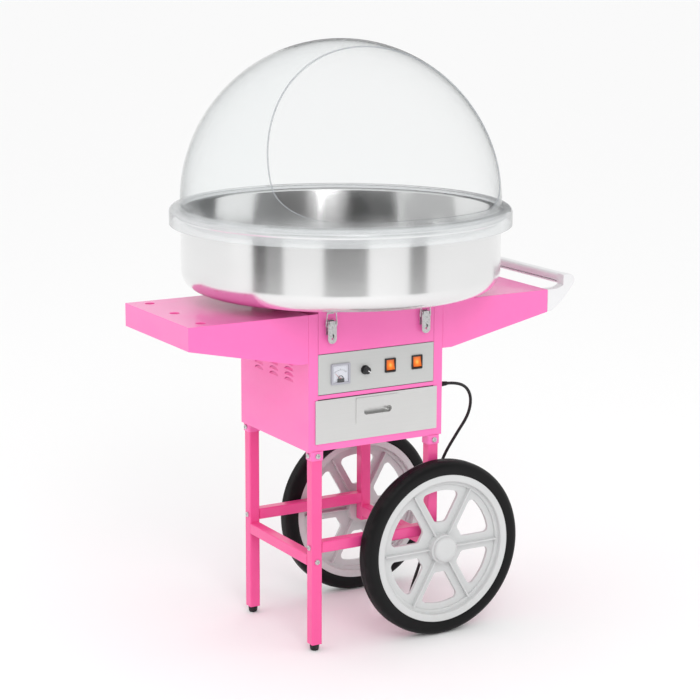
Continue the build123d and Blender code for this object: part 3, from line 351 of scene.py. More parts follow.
# %% Spun and brushed steel
def spun_steel(name, tint, gloss):
    steel = Finish(name, Metallic=1.0, Anisotropic=0.7, Anisotropic_Rotation=0.25)
    x, y, z = steel.split(steel.place(), (axis_x, 0, 0))
    radius = (x * x + y * y) ** 0.5 + 0.0001
    round_axis = steel.join(x / radius * 0.6, y / radius * 0.6, (z + radius) * 900)
    lines = steel.noise(1.0, 4.0, vector=round_axis, roughness=0.7)
    broad = steel.noise(1.0, 2.0, vector=steel.join(x / radius * 2.0, y / radius * 2.0, (z + radius) * 12))
    smudge = steel.noise(7.0, 4.0).ramp(0.5, 0.8)
    shade = lines * 0.5 + broad * 0.5
    steel.drive("Base Color", steel.mix(shade, tuple(c * 0.88 for c in tint), tint))
    steel.drive("Roughness", gloss + lines * 0.08 + smudge * 0.05)
    steel.bump(lines, 0.04, 0.0001)
    finishes[name] = steel.material


spun_steel("bright_steel", (0.86, 0.86, 0.86), 0.16)


def brushed_plate(name, tint, along, gloss, metal=1.0):
    """Flat sheet brushed in one direction, given as a stretch that is small along the lines."""
    plate = Finish(name, Metallic=metal)
    lines = plate.noise(1.0, 4.0, along, roughness=0.7)
    cloud = plate.noise(14.0, 3.0)
    prints = plate.noise(38.0, 5.0).ramp(0.62, 0.8)
    plate.drive("Base Color", plate.mix(lines * 0.7 + cloud * 0.3, tuple(c * 0.86 for c in tint), tint))
    plate.drive("Roughness", gloss + lines * 0.12 + prints * 0.08)
    plate.bump(lines, 0.08, 0.0005)
    finishes[name] = plate.material


brushed_plate("drawer_steel", (0.78, 0.78, 0.77), (6, 900, 900), 0.30)
brushed_plate("satin_panel", (0.60, 0.61, 0.60), (4, 500, 700), 0.42, 0.25)
brushed_plate("tray_steel", (0.70, 0.70, 0.69), (900, 8, 900), 0.32)
brushed_plate("shaft_steel", (0.72, 0.72, 0.71), (700, 700, 9), 0.22)
print("steel made")

# %% [markdown]
# Latches, bolts and washers are zinc plated: a patchwork of small crystals, each catching the light a little
# differently, with a duller bloom over it. Cells from a Voronoi texture are those crystals.

# %% Zinc plate and cast alloy
def zinc_plate(name, tint, crystal, gloss):
    zinc = Finish(name, Metallic=0.9)
    cells = zinc.node("ShaderNodeTexVoronoi", None, {"Vector": zinc.place(), "Scale": crystal}, "Distance")
    bloom = zinc.noise(90.0, 4.0).ramp(0.4, 0.75)
    zinc.drive("Base Color", zinc.mix(cells * 1.1, tint, tuple(c * 0.62 for c in tint)))
    zinc.drive("Roughness", gloss + cells * 0.2 + bloom * 0.15)
    zinc.bump(cells + zinc.noise(900.0, 2.0) * 0.4, 0.12, 0.0004)
    finishes[name] = zinc.material


zinc_plate("zinc", (0.80, 0.80, 0.80), 420.0, 0.24)
zinc_plate("cast_alloy", (0.58, 0.58, 0.57), 260.0, 0.42)
print("zinc made")

# %% [markdown]
# The dome is clear plastic. Looking straight through it almost nothing shows, and towards its edge, where the
# wall is seen side-on, it turns grey: a Layer Weight gives that, by making the skin denser there and by
# darkening its colour, which is painted shade. Light has to pass through to the bowl, so the clear share is a
# Transparent shader. The turned-down flange is a thick moulding and looks milky.

# %% Clear plastic
def clear_plastic(name, tint, body, edge, milky_below=None):
    clear = Finish(name, IOR=1.49, Specular_IOR_Level=0.35)
    facing = clear.node("ShaderNodeLayerWeight", None, {"Blend": 0.5}, "Facing")
    scuffs = clear.noise(30.0, 5.0, (1, 1, 0.4)).ramp(0.58, 0.85)
    # Painted shade: the colour darkens towards the silhouette, where the wall is seen side-on.
    clear.drive("Base Color", clear.mix(facing ** 3.0, tint, tuple(c * 0.28 for c in tint)))
    clear.drive("Roughness", 0.03 + scuffs * 0.05)
    amount = body + (facing ** 5.0) * edge + scuffs * 0.012
    if milky_below is not None:
        height = clear.split(clear.place())[2]
        amount = amount + (1 - height.ramp(milky_below - 0.002, milky_below + 0.003)) * 0.22
    see_through = clear.node("ShaderNodeBsdfTransparent", None, {"Color": (0.985, 0.99, 0.99, 1)})
    skin = Signal(clear, clear.surface.outputs["BSDF"])
    blend = clear.node("ShaderNodeMixShader", None, {0: amount, 1: see_through, 2: skin})
    clear.tree.links.new(blend.socket, clear.tree.nodes["Material Output"].inputs["Surface"])
    clear.bump(clear.noise(3.0, 2.0), 0.05, 0.002)
    finishes[name] = clear.material


flange_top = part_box("dome")[0].z + 0.038
clear_plastic("clear_dome", (0.86, 0.88, 0.89), 0.035, 0.75, flange_top)
clear_plastic("clear_edge", (0.34, 0.36, 0.38), 0.65, 0.3)
clear_plastic("clear_window", (0.75, 0.76, 0.78), 0.10, 0.6)
print("clear plastics made")

# %% [markdown]
# Wheels, handle, knob and switches are moulded plastic: an even colour with a faint grain from the mould,
# glossier where it is handled. Low on the wheels some dust from the floor dulls it.

# %% Moulded plastics
def moulded(name, tint, gloss, grain=420.0, strength=0.08, dust=0.0):
    plastic = Finish(name, Specular_IOR_Level=0.45)
    flow = plastic.noise(12.0, 3.0)
    skin = plastic.noise(grain, 3.0)
    rubbed = plastic.noise(22.0, 4.0).ramp(0.5, 0.8)
    tone = plastic.mix(flow, tuple(c * 0.93 for c in tint), tint)
    if dust:
        height = plastic.split(plastic.place())[2]
        low = (1 - (height - FLOOR).ramp(0.0, 0.12)) * plastic.noise(60.0, 5.0).ramp(0.35, 0.7) * dust
        tone = plastic.mix(low, tone, (0.50, 0.47, 0.43))
    plastic.drive("Base Color", tone)
    plastic.drive("Roughness", gloss + skin * 0.08 - rubbed * 0.05)
    plastic.bump(skin, strength, 0.0006)
    finishes[name] = plastic.material


moulded("pale_plastic", (0.64, 0.65, 0.65), 0.42, dust=0.25)
moulded("white_plastic", (0.80, 0.80, 0.81), 0.30)
moulded("black_plastic", (0.018, 0.018, 0.020), 0.34)
moulded("needle_red", (0.55, 0.03, 0.02), 0.4)
moulded("board_green", (0.02, 0.16, 0.07), 0.45)
moulded("motor_paint", (0.10, 0.11, 0.12), 0.45, 240.0, 0.15)
# One black serves the meter's printed marks and boss cover, and the painted shade in the latch slots.
moulded("black_and_painted_shade", (0.010, 0.010, 0.011), 0.7)
moulded("dial_white", (0.83, 0.83, 0.90), 0.35)
moulded("dial_grey", (0.42, 0.42, 0.47), 0.4)
print("plastics made")

# %% [markdown]
# Rubber is the dullest thing here. The tyres have fine mould lines round them, which a wave on the distance
# from the axle gives, and they carry a trace of grey dust where they roll.

# %% Rubber
def wheel_rubber(name):
    rubber = Finish(name, Specular_IOR_Level=0.2)
    hub = middle("tyre_front")
    x, y, z = rubber.split(rubber.place(), (hub.x, 0, hub.z))
    radius = (x * x + z * z) ** 0.5
    rings = rubber.node("ShaderNodeMath", {"operation": "SINE"}, {0: radius * 2600})
    worn = (radius.ramp(0.190, 0.1985)) * rubber.noise(45.0, 5.0).ramp(0.35, 0.7)
    grain = rubber.noise(520.0, 3.0)
    rubber.drive("Base Color", rubber.mix(worn * 0.35, (0.004, 0.004, 0.0045), (0.030, 0.029, 0.028)))
    rubber.drive("Roughness", 0.36 + grain * 0.12 + worn * 0.2)
    rubber.bump(rings * 0.35 + grain * 0.5, 0.16, 0.0008)
    finishes[name] = rubber.material


wheel_rubber("tyre_rubber")
moulded("black_rubber", (0.008, 0.008, 0.0085), 0.48, 600.0, 0.15)
print("rubber made")

# %% [markdown]
# The rockers are amber lenses with a small lamp behind them: a hot yellow middle that falls off to orange at
# the rim. The glow is an emission whose colour follows the distance from each lens's middle.

# %% Lit lenses and heater parts
def lit_lens(name, node):
    lens = Finish(name, Roughness=0.2, Emission_Strength=0.65, Coat_Weight=0.4)
    centre = middle(node)
    x, y, z = lens.split(lens.place(), tuple(centre))
    far = ((x * x + z * z * 0.7) ** 0.5) * 110
    hot = 1 - far.ramp(0.0, 0.62)
    warm = 1 - far.ramp(0.2, 1.25)
    ribs = lens.node("ShaderNodeMath", {"operation": "SINE"}, {0: z * 5200})
    glow = lens.mix(warm, (0.32, 0.035, 0.004), (0.95, 0.20, 0.010))
    lens.drive("Emission Color", lens.mix(hot, glow, (1.0, 0.62, 0.12)))
    lens.drive("Base Color", lens.mix(lens.noise(80.0), (0.50, 0.10, 0.01), (0.62, 0.15, 0.02)))
    lens.bump(ribs + lens.noise(300.0), 0.10, 0.0006)
    finishes[name] = lens.material


lit_lens("amber_left", "power_rocker")
lit_lens("amber_right", "heat_rocker")


def plain_metal(name, tint, gloss):
    metal = Finish(name, Metallic=1.0)
    stain = metal.noise(40.0, 4.0)
    metal.drive("Base Color", metal.mix(stain, tuple(c * 0.7 for c in tint), tint))
    metal.drive("Roughness", gloss + stain * 0.2)
    metal.bump(metal.noise(600.0, 2.0), 0.1, 0.0004)
    finishes[name] = metal.material


plain_metal("copper", (0.85, 0.45, 0.28), 0.28)
plain_metal("element", (0.32, 0.27, 0.24), 0.45)
print("lenses and heater finishes made")

# %% [markdown]
# Each carried-over node now gets its finish. One table names the finish of every node, so nothing keeps the
# plain colour that it came with.

# %% Finishes of the carried-over nodes
node_finish = {
    # The legs and rails take the frame coat, whose darker pink is partly painted shade.
    "pink_frame": ["leg_front_left", "leg_rear_left", "leg_front_right", "leg_rear_right", "rail_left",
                   "rail_right", "rail_front", "rail_rear"],
    "pink_paint": ["side_panel_left", "side_panel_right", "shelf_left", "shelf_right", "back_panel",
                   "cabinet_floor", "divider_plate", "machine_housing"],
    "zinc": ["latch_lever_left", "latch_lever_right", "latch_bail_left", "latch_bail_right", "latch_bases",
             "fasteners", "drawer_runners"],
    "shaft_steel": ["axle", "spinner_shaft"],
    "drawer_steel": ["drawer_front", "drawer_pull"],
    "tray_steel": ["drawer_box"],
    "satin_panel": ["control_panel"],
    "white_plastic": ["handle_grip", "handle_horns"],
    "pale_plastic": ["wheel_front", "wheel_rear", "hub_cap_front", "hub_cap_rear"],
    "tyre_rubber": ["tyre_front", "tyre_rear"],
    "black_rubber": ["rubber_feet", "bowl_buffers", "cord_gland", "plug", "cord", "cord_coil"],
    "black_plastic": ["heat_knob", "rocker_housings", "potentiometer"],
    "dial_grey": ["meter_case"],
    "clear_window": ["meter_window"],
    "needle_red": ["meter_needle"],
    "amber_left": ["power_rocker"],
    "amber_right": ["heat_rocker"],
    "motor_paint": ["motor"],
    "cast_alloy": ["spinner_head", "brush_holder"],
    "bright_steel": ["bowl", "spinner_band"],
    "copper": ["slip_rings"],
    "element": ["heater_ring"],
    "board_green": ["control_board"],
    "clear_dome": ["dome"],
}
for finish_name, members in node_finish.items():
    for member in members:
        mesh = nodes[member].data
        mesh.materials.clear()
        mesh.materials.append(finishes[finish_name])
mains_lead.data.materials.append(finishes["black_rubber"])
print("nodes finished:", sum(len(members) for members in node_finish.values()), "of", len(nodes))

# %% [markdown]
# ## Pieces modelled again
# The helpers below are the hand moves that every modelled piece needs: let go of everything, draw an outline
# point by point, round some of its corners, turn it round an axis, and set the finished piece in its body.

# %% Hand moves
def let_go():
    if bpy.context.object and bpy.context.object.mode != "OBJECT":
        bpy.ops.object.mode_set(mode="OBJECT")
    bpy.ops.object.select_all(action="DESELECT")


def hold(piece):
    """Select one piece alone and make it active."""
    let_go()
    piece.select_set(True)
    bpy.context.view_layer.objects.active = piece


def pick(piece, kind, test):
    """Select only the vertices or faces that pass a test, and go to edit mode."""
    bpy.ops.object.mode_set(mode="EDIT")
    bpy.ops.mesh.select_mode(type={"vertices": "VERT", "polygons": "FACE"}[kind])
    bpy.ops.mesh.select_all(action="DESELECT")
    bpy.ops.object.mode_set(mode="OBJECT")
    for element in getattr(piece.data, kind):
        element.select = test(element)
    bpy.ops.object.mode_set(mode="EDIT")


def outline(name, places, rounds=None):
    """Draw a closed outline by extruding one point from place to place, then round the corners asked for."""
    let_go()
    bpy.ops.mesh.primitive_plane_add(size=0.001, location=places[0])
    piece = bpy.context.active_object
    piece.name = name
    bpy.ops.object.transform_apply(location=True)
    bpy.ops.object.mode_set(mode="EDIT")
    bpy.ops.mesh.select_mode(type="VERT")
    bpy.ops.mesh.select_all(action="SELECT")
    bpy.ops.mesh.merge(type="CENTER")
    for before, after in zip(places, places[1:]):
        bpy.ops.mesh.extrude_region_move(TRANSFORM_OT_translate={"value": Vector(after) - Vector(before)})
    step = Vector(places[0]) - Vector(places[-1])
    bpy.ops.mesh.extrude_region_move(TRANSFORM_OT_translate={"value": step})
    bpy.ops.mesh.select_all(action="SELECT")
    bpy.ops.mesh.remove_doubles(threshold=0.00001)
    for corner, radius, segments in rounds or []:
        target = Vector(places[corner])
        pick(piece, "vertices", lambda v: (v.co - target).length < 0.00002)
        before, after = Vector(places[corner - 1]), Vector(places[(corner + 1) % len(places)])
        half = (before - target).angle(after - target) / 2
        bpy.ops.mesh.bevel(offset=radius / math.tan(half), segments=segments, affect="VERTICES",
                           offset_type="OFFSET", profile=0.5)
    bpy.ops.object.mode_set(mode="OBJECT")
    return piece


AXES = {"X": Vector((1, 0, 0)), "Y": Vector((0, 1, 0)), "Z": Vector((0, 0, 1))}


def turned(name, centre, axis, profile, rounds=None, steps=96, sweep=360, start=0):
    """Turn an outline of (radius, distance along the axis) points round an axis."""
    along = AXES[axis]
    out = AXES["Z"] if axis == "Y" else (AXES["Y"] if axis == "X" else AXES["X"])
    out = Matrix.Rotation(math.radians(start), 3, along) @ out
    places = [Vector(centre) + out * r + along * h for r, h in profile]
    piece = outline(name, places, rounds)
    bpy.ops.object.mode_set(mode="EDIT")
    bpy.ops.mesh.select_all(action="SELECT")
    bpy.ops.mesh.spin(steps=steps, angle=math.radians(-sweep), center=centre, axis=along)
    bpy.ops.mesh.select_all(action="SELECT")
    bpy.ops.mesh.remove_doubles(threshold=0.00002)
    bpy.ops.mesh.delete_loose(use_verts=True, use_edges=True, use_faces=False)
    if sweep < 360:
        bpy.ops.mesh.select_all(action="DESELECT")
        bpy.ops.mesh.select_non_manifold()
        bpy.ops.mesh.edge_face_add()
    bpy.ops.mesh.select_all(action="SELECT")
    bpy.ops.mesh.normals_make_consistent(inside=False)
    bpy.ops.object.mode_set(mode="OBJECT")
    return piece


def boxy(name, low, high, bevel=0.0, segments=2):
    """A cube set between two corners, with its edges rounded."""
    let_go()
    low, high = Vector(low), Vector(high)
    bpy.ops.mesh.primitive_cube_add(size=1, location=(low + high) / 2)
    piece = bpy.context.active_object
    piece.name = name
    piece.scale = high - low
    bpy.ops.object.transform_apply(location=True, rotation=True, scale=True)
    if bevel:
        bpy.ops.object.mode_set(mode="EDIT")
        bpy.ops.mesh.select_all(action="SELECT")
        bpy.ops.mesh.bevel(offset=bevel, segments=segments, affect="EDGES")
        bpy.ops.object.mode_set(mode="OBJECT")
    return piece


def cut(piece, tool):
    """Cut one solid out of another with a Boolean modifier. The cut faces take the tool's finish."""
    hold(piece)
    boolean = piece.modifiers.new("cut", "BOOLEAN")
    boolean.operation = "DIFFERENCE"
    boolean.solver = "EXACT"
    boolean.object = tool
    boolean.material_mode = "TRANSFER"
    bpy.ops.object.modifier_apply(modifier="cut")
    bpy.data.objects.remove(tool)


def set_in(piece, finish, body, slot, *stands_for, angle=35):
    """Smooth it, give it its finish, and put it on its body in place of a carried-over node."""
    hold(piece)
    bpy.ops.object.shade_smooth_by_angle(angle=math.radians(angle))
    if not piece.data.materials:
        piece.data.materials.append(finishes[finish])
    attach(piece, body)
    if stands_for:
        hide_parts(*stands_for)
    return piece


def twin(piece, name, step):
    """A copy with its own mesh, moved by a step."""
    hold(piece)
    bpy.ops.object.duplicate(linked=False)
    copy = bpy.context.active_object
    copy.name = name
    bpy.ops.transform.translate(value=step)
    bpy.ops.object.transform_apply(location=True, rotation=False, scale=False)
    return copy


def swing_about(piece, degrees, axis, centre):
    """Turn a piece about a point. Without a window transform.rotate turns the other way, hence the minus."""
    hold(piece)
    bpy.ops.object.mode_set(mode="EDIT")
    bpy.ops.mesh.select_all(action="SELECT")
    bpy.ops.transform.rotate(value=-math.radians(degrees), orient_axis=axis, center_override=centre)
    bpy.ops.object.mode_set(mode="OBJECT")


print("hand moves ready")

# %% [markdown]
# The bowl is one sheet: a flat floor with a hole for the spinner, a large soft corner, an upright wall and a
# rolled rim. Drawing its section and turning it once round the axis makes all four at once, with a smooth
# wall that mirrors cleanly. The two small hooks under it are for the latches.

# %% Bowl
bowl_low, bowl_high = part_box("bowl")
BOWL_R = 0.350
SHEET = 0.0015
HOLE_R = 0.085
ROLL_R = 0.0065
ROLL_POINTS, ROLL_START, ROLL_STEP = 11, 218, 29.6
LIP_H = 0.010
CORNER_R = 0.041
BOWL_STEPS = 160
bowl_floor = bowl_high.z - 0.170
roll_z = bowl_high.z - ROLL_R
axis_foot = Vector((axis_x, 0, 0))
roll_at = BOWL_R - SHEET / 2 + ROLL_R
section = [(HOLE_R, bowl_floor), (BOWL_R, bowl_floor), (BOWL_R, roll_z - 0.004)]
for k in range(ROLL_POINTS):
    around = math.radians(ROLL_START + ROLL_STEP * k)
    section.append((roll_at + ROLL_R * math.cos(around), roll_z + ROLL_R * math.sin(around)))
section += [(BOWL_R - SHEET, roll_z + 0.001), (BOWL_R - SHEET, bowl_floor + SHEET),
            (HOLE_R + SHEET, bowl_floor + SHEET), (HOLE_R + SHEET, bowl_floor + LIP_H),
            (HOLE_R, bowl_floor + LIP_H)]
inner_corner = len(section) - 4
bowl_piece = turned("steel_bowl", axis_foot, "Z", section,
                    [(1, CORNER_R, 10), (inner_corner, CORNER_R - SHEET, 10)], steps=BOWL_STEPS)
set_in(bowl_piece, "bright_steel", "bowl_unit", "bright_steel", "bowl", angle=40)
print("bowl faces:", len(bowl_piece.data.polygons))

# %% [markdown]
# A latch hook is a strip that hangs from the bowl's floor and turns outwards at its end. A thin block is
# stretched by extruding its lower front face, which is how the strip was folded.

# %% Latch hooks under the bowl
HOOK_W = 0.016
hook_x = middle("latch_lever_left").x
hook_back = FRONT - SHEET
hook = boxy("bowl_hook_left", (hook_x - HOOK_W / 2, hook_back - SHEET, bowl_low.z),
            (hook_x + HOOK_W / 2, hook_back, bowl_floor + SHEET / 2))
bpy.ops.object.mode_set(mode="EDIT")
bpy.ops.mesh.select_all(action="SELECT")
bpy.ops.mesh.bisect(plane_co=(0, 0, bowl_low.z + SHEET), plane_no=(0, 0, 1))
pick(hook, "polygons", lambda f: f.normal.y < -0.9 and f.center.z < bowl_low.z + SHEET)
bpy.ops.mesh.extrude_region_move(TRANSFORM_OT_translate={"value": (0, -0.003, 0)})
bpy.ops.object.mode_set(mode="OBJECT")
hook_gap = Vector((middle("latch_lever_right").x - hook_x, 0, 0))
right_hook = twin(hook, "bowl_hook_right", hook_gap)
set_in(hook, "bright_steel", "bowl_unit", "bright_steel", "bowl")
set_in(right_hook, "bright_steel", "bowl_unit", "bright_steel", "bowl")
print("hooks at x =", round(hook_x, 4), "and", round(middle("latch_lever_right").x, 4))

# %% [markdown]
# The dome is a blown half sphere with a flange that drops over the bowl's rim, 3 mm thick. Its outer line
# and inner line are turned round the axis together. The serving opening is cut by a prism with one large
# rounded corner, and the cut hands its own finish to the raw edge, which shows as a grey line.

# %% Dome
dome_low, dome_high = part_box("dome")
DOME_R = 0.351
DOME_WALL = 0.003
dome_centre = dome_high.z - DOME_R
flange_r = (dome_high.y - dome_low.y) / 2
shoulder_z = dome_low.z + 0.038
neck_r = math.sqrt(DOME_R ** 2 - (dome_centre - shoulder_z) ** 2)
bend_z = 0.002
FLANGE_ROUND = 0.012
LEDGE_IN, LEDGE_OUT, LEDGE_LOW, LEDGE_HIGH = 0.352, 0.356, 0.9434, 0.9510
line = [(flange_r, dome_low.z), (flange_r, shoulder_z), (neck_r + 0.0015, shoulder_z)]
DOME_RINGS = 44
for wall, way in ((0.0, 1), (DOME_WALL, -1)):
    ball = DOME_R - wall
    first_rise = math.asin((shoulder_z + bend_z - wall - dome_centre) / ball)
    for k in range(DOME_RINGS + 1)[::way]:
        rise = first_rise + (math.pi / 2 - first_rise) * k / DOME_RINGS
        line.append((ball * math.cos(rise), dome_centre + ball * math.sin(rise)))
neck_in = math.sqrt((DOME_R - DOME_WALL) ** 2 - (dome_centre - shoulder_z + DOME_WALL) ** 2)
line += [(neck_in, shoulder_z - DOME_WALL), (flange_r - DOME_WALL, shoulder_z - DOME_WALL),
         (flange_r - DOME_WALL, dome_low.z)]
dome_piece = turned("clear_dome_piece", axis_foot, "Z", line,
                    [(1, FLANGE_ROUND, 8), (len(line) - 2, FLANGE_ROUND - DOME_WALL, 8)], steps=BOWL_STEPS)
dome_piece.data.materials.append(finishes["clear_dome"])
dome_piece.data.materials.append(finishes["clear_edge"])

SLOPE = math.radians(23)
CUT_AWAY = 0.212
CUT_LOW = shoulder_z + FLANGE_ROUND
CUT_CORNER = 0.110


def slope_y(z):
    return (math.sin(SLOPE) * (z - dome_centre) - CUT_AWAY) / math.cos(SLOPE)


cut_top = dome_high.z + 0.06
cut_side = -flange_r - 0.06
half_cut = flange_r + 0.02
cutter = outline("opening_cutter", [
    (axis_x - half_cut, slope_y(CUT_LOW), CUT_LOW), (axis_x - half_cut, cut_side, CUT_LOW),
    (axis_x - half_cut, cut_side, cut_top), (axis_x - half_cut, slope_y(cut_top), cut_top),
], [(0, CUT_CORNER, 24)])
bpy.ops.object.mode_set(mode="EDIT")
bpy.ops.mesh.select_all(action="SELECT")
bpy.ops.mesh.edge_face_add()
bpy.ops.mesh.extrude_region_move(TRANSFORM_OT_translate={"value": (2 * half_cut, 0, 0)})
bpy.ops.mesh.select_all(action="SELECT")
bpy.ops.mesh.normals_make_consistent(inside=False)
bpy.ops.object.mode_set(mode="OBJECT")
cutter.data.materials.append(finishes["clear_edge"])
cut(dome_piece, cutter)
set_in(dome_piece, "clear_dome", "dome_cover", "clear_dome", "dome")
ledge = turned("dome_ledge", axis_foot, "Z", [(LEDGE_IN, LEDGE_LOW), (LEDGE_OUT, LEDGE_LOW),
                                              (LEDGE_OUT, LEDGE_HIGH), (LEDGE_IN, LEDGE_HIGH)],
               [(1, 0.0012, 3)], steps=128)
set_in(ledge, "clear_dome", "dome_cover", "clear_dome", "dome")
print("dome faces:", len(dome_piece.data.polygons), "edge faces:",
      sum(1 for f in dome_piece.data.polygons if f.material_index == 1))

# %% [markdown]
# Each tyre is solid rubber on a plastic rim. Its section has soft shoulders and three narrow grooves in the
# tread, and turning that section round the axle makes the whole ring. The rear tyre is a copy.

# %% Tyres
tyre_low, tyre_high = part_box("tyre_front")
tyre_centre = (tyre_low + tyre_high) / 2
TYRE_R = (tyre_high.z - tyre_low.z) / 2
SEAT_R = 0.168
SHOULDER_R = 0.0145
GROOVE_APART = 0.0048
GROOVE_DEEP = 0.0014
half_t = (tyre_high.y - tyre_low.y) / 2
tread = [(SEAT_R, -half_t + 0.002), (SEAT_R + 0.005, -half_t), (TYRE_R - 0.0004, -half_t)]
for at in (-GROOVE_APART, 0, GROOVE_APART):
    tread += [(TYRE_R, at - 0.0008), (TYRE_R - GROOVE_DEEP, at - 0.0005), (TYRE_R - GROOVE_DEEP, at + 0.0005),
              (TYRE_R, at + 0.0008)]
tread += [(TYRE_R - 0.0004, half_t), (SEAT_R + 0.005, half_t), (SEAT_R, half_t - 0.002)]
last = len(tread) - 3
shoulders = [(2, SHOULDER_R, 8), (last, SHOULDER_R, 8)]
front_tyre = turned("front_tyre", tyre_centre, "Y", tread, shoulders, steps=128)
set_in(front_tyre, "tyre_rubber", "front_wheel", "tyre_rubber", "tyre_front", angle=50)
rear_tyre = twin(front_tyre, "rear_tyre", middle("tyre_rear") - tyre_centre)
set_in(rear_tyre, "tyre_rubber", "rear_wheel", "tyre_rubber", "tyre_rear", angle=50)
print("tyre radius:", round(TYRE_R, 4), "faces:", len(front_tyre.data.polygons))

# %% [markdown]
# The hub caps are snap-on plastic buttons: a low dome with a soft edge over a straight skirt.

# %% Hub caps
cap_low, cap_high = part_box("hub_cap_front")
CAP_R = (cap_high.z - cap_low.z) / 2
cap_depth = cap_high.y - cap_low.y
cap_at = Vector((middle("hub_cap_front").x, cap_high.y, middle("hub_cap_front").z))
CAP_WALL = 0.002
button = [(0.0, -cap_depth), (CAP_R * 0.45, -cap_depth + 0.0003), (CAP_R * 0.82, -cap_depth + 0.0014),
          (CAP_R, -cap_depth + 0.006), (CAP_R, 0), (CAP_R - CAP_WALL, 0),
          (CAP_R - CAP_WALL, -cap_depth + 0.007), (0.0, -cap_depth + 0.003)]
front_cap = turned("front_hub_cap", cap_at, "Y", button, [(3, 0.006, 5)], steps=64)
set_in(front_cap, "pale_plastic", "front_wheel", "pale_plastic", "hub_cap_front", angle=40)
rear_cap = twin(front_cap, "rear_hub_cap", (0, 0, 0))
hold(rear_cap)
bpy.ops.object.mode_set(mode="EDIT")
bpy.ops.mesh.select_all(action="SELECT")
bpy.ops.transform.resize(value=(1, -1, 1), center_override=(0, 0, 0))
bpy.ops.mesh.normals_make_consistent(inside=False)
bpy.ops.object.mode_set(mode="OBJECT")
set_in(rear_cap, "pale_plastic", "rear_wheel", "pale_plastic", "hub_cap_rear", angle=40)
print("hub cap radius:", round(CAP_R, 4))

# %% [markdown]
# The panel meter has a pale scale plate behind its window. The scale is an arc of small marks, longer at the
# ends and in the middle. One long and one short mark are made, and copies of them are turned into place. A
# dark cover hides the needle's boss.

# %% Meter scale
case_low, case_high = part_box("meter_case")
case_mid_x = (case_low.x + case_high.x) / 2
window_low, window_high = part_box("meter_window")
window_mid_z = (window_low.z + window_high.z) / 2
pivot = Vector((case_mid_x, FRONT - 0.0008, window_mid_z - 0.011))
scale_plate = boxy("meter_scale_plate", (window_low.x, FRONT - 0.0009, window_low.z),
                   (window_high.x, FRONT - 0.0005, window_high.z), 0.0001, 1)
set_in(scale_plate, "dial_white", "cart", "white_plastic")
SCALE_MARKS = 11
SCALE_SWEEP = 90
MARK_T = 0.00035
ARC_IN, ARC_OUT = 0.0190, 0.0194
arc = turned("meter_scale_arc", pivot, "Y",
             [(ARC_IN, -MARK_T), (ARC_OUT, -MARK_T), (ARC_OUT, 0), (ARC_IN, 0)],
             steps=28, sweep=SCALE_SWEEP, start=-SCALE_SWEEP / 2)
set_in(arc, "black_and_painted_shade", "cart", "black_plastic")
LONG_MARK, SHORT_MARK = (0.00028, 0.0225), (0.00018, 0.0212)  # half width, reach from the pivot


def upright_mark(name, half, reach):
    return boxy(name, pivot + Vector((-half, -MARK_T, ARC_OUT)), pivot + Vector((half, 0, reach)), 0.00005, 1)


long_mark = upright_mark("long_mark", *LONG_MARK)
short_mark = upright_mark("short_mark", *SHORT_MARK)
for k in range(SCALE_MARKS):
    mark = twin(short_mark if k % 5 else long_mark, f"meter_mark_{k}", (0, 0, 0))
    swing_about(mark, SCALE_SWEEP * (k / (SCALE_MARKS - 1) - 0.5), "Y", pivot)
    set_in(mark, "black_and_painted_shade", "cart", "black_plastic")
bpy.data.objects.remove(long_mark)
bpy.data.objects.remove(short_mark)
boss_cover = boxy("meter_boss_cover", (case_mid_x - 0.0085, FRONT - 0.0034, window_low.z + 0.0002),
                  (case_mid_x + 0.0085, FRONT - 0.0026, window_low.z + 0.0085), 0.0003, 2)
set_in(boss_cover, "black_and_painted_shade", "cart", "black_plastic")
boss_bridge = turned("meter_boss_bridge", (case_mid_x, FRONT - 0.0032, window_low.z + 0.0085), "Y",
                     [(0.0052, 0), (0.0066, 0), (0.0066, 0.0006), (0.0052, 0.0006)],
                     steps=20, sweep=180, start=-90)
set_in(boss_bridge, "black_and_painted_shade", "cart", "black_plastic")
print("scale marks:", SCALE_MARKS)

# %% [markdown]
# The heat knob has a white pointer line moulded across its face, which shows where it is set.

# %% Knob pointer
knob_low, knob_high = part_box("heat_knob")
knob_centre = (knob_low + knob_high) / 2
knob_face = Vector((knob_centre.x, knob_low.y, knob_centre.z))
POINTER_HALF, POINTER_FROM, POINTER_TO, POINTER_TURN = 0.0011, 0.0004, 0.0084, 122
pointer = boxy("knob_pointer", knob_face + Vector((-POINTER_HALF, -0.0006, POINTER_FROM)),
               knob_face + Vector((POINTER_HALF, 0.0004, POINTER_TO)), 0.0003, 2)
swing_about(pointer, POINTER_TURN, "Y", knob_face)
set_in(pointer, "white_plastic", "knob", "white_plastic")
print("pointer length in mm:", round((POINTER_TO - POINTER_FROM) * 1000, 1))

# %% [markdown]
# Near its round end each latch lever has a curved mark and a dot: a small slot with a hole beside it, both
# dark with the shade inside them.
# That shade is painted: thin dark plates laid on the left lever, and the right lever gets a copy of both.

# %% Latch slots
lever_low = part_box("latch_lever_left")[0]
slot_centre = Vector((hook_x - 0.0008, lever_low.y, lever_low.z + 0.0165))
crescent = turned("latch_slot_left", slot_centre, "Y",
                  [(0.0030, -0.0002), (0.0048, -0.0002), (0.0048, 0.0001), (0.0030, 0.0001)],
                  steps=16, sweep=150, start=15)
dot = turned("latch_slot_dot_left", slot_centre + Vector((0.0022, 0, 0.001)), "Y",
             [(0.0, -0.0003), (0.0012, -0.0002), (0.0013, 0.0001), (0.0, 0.0001)], steps=14)
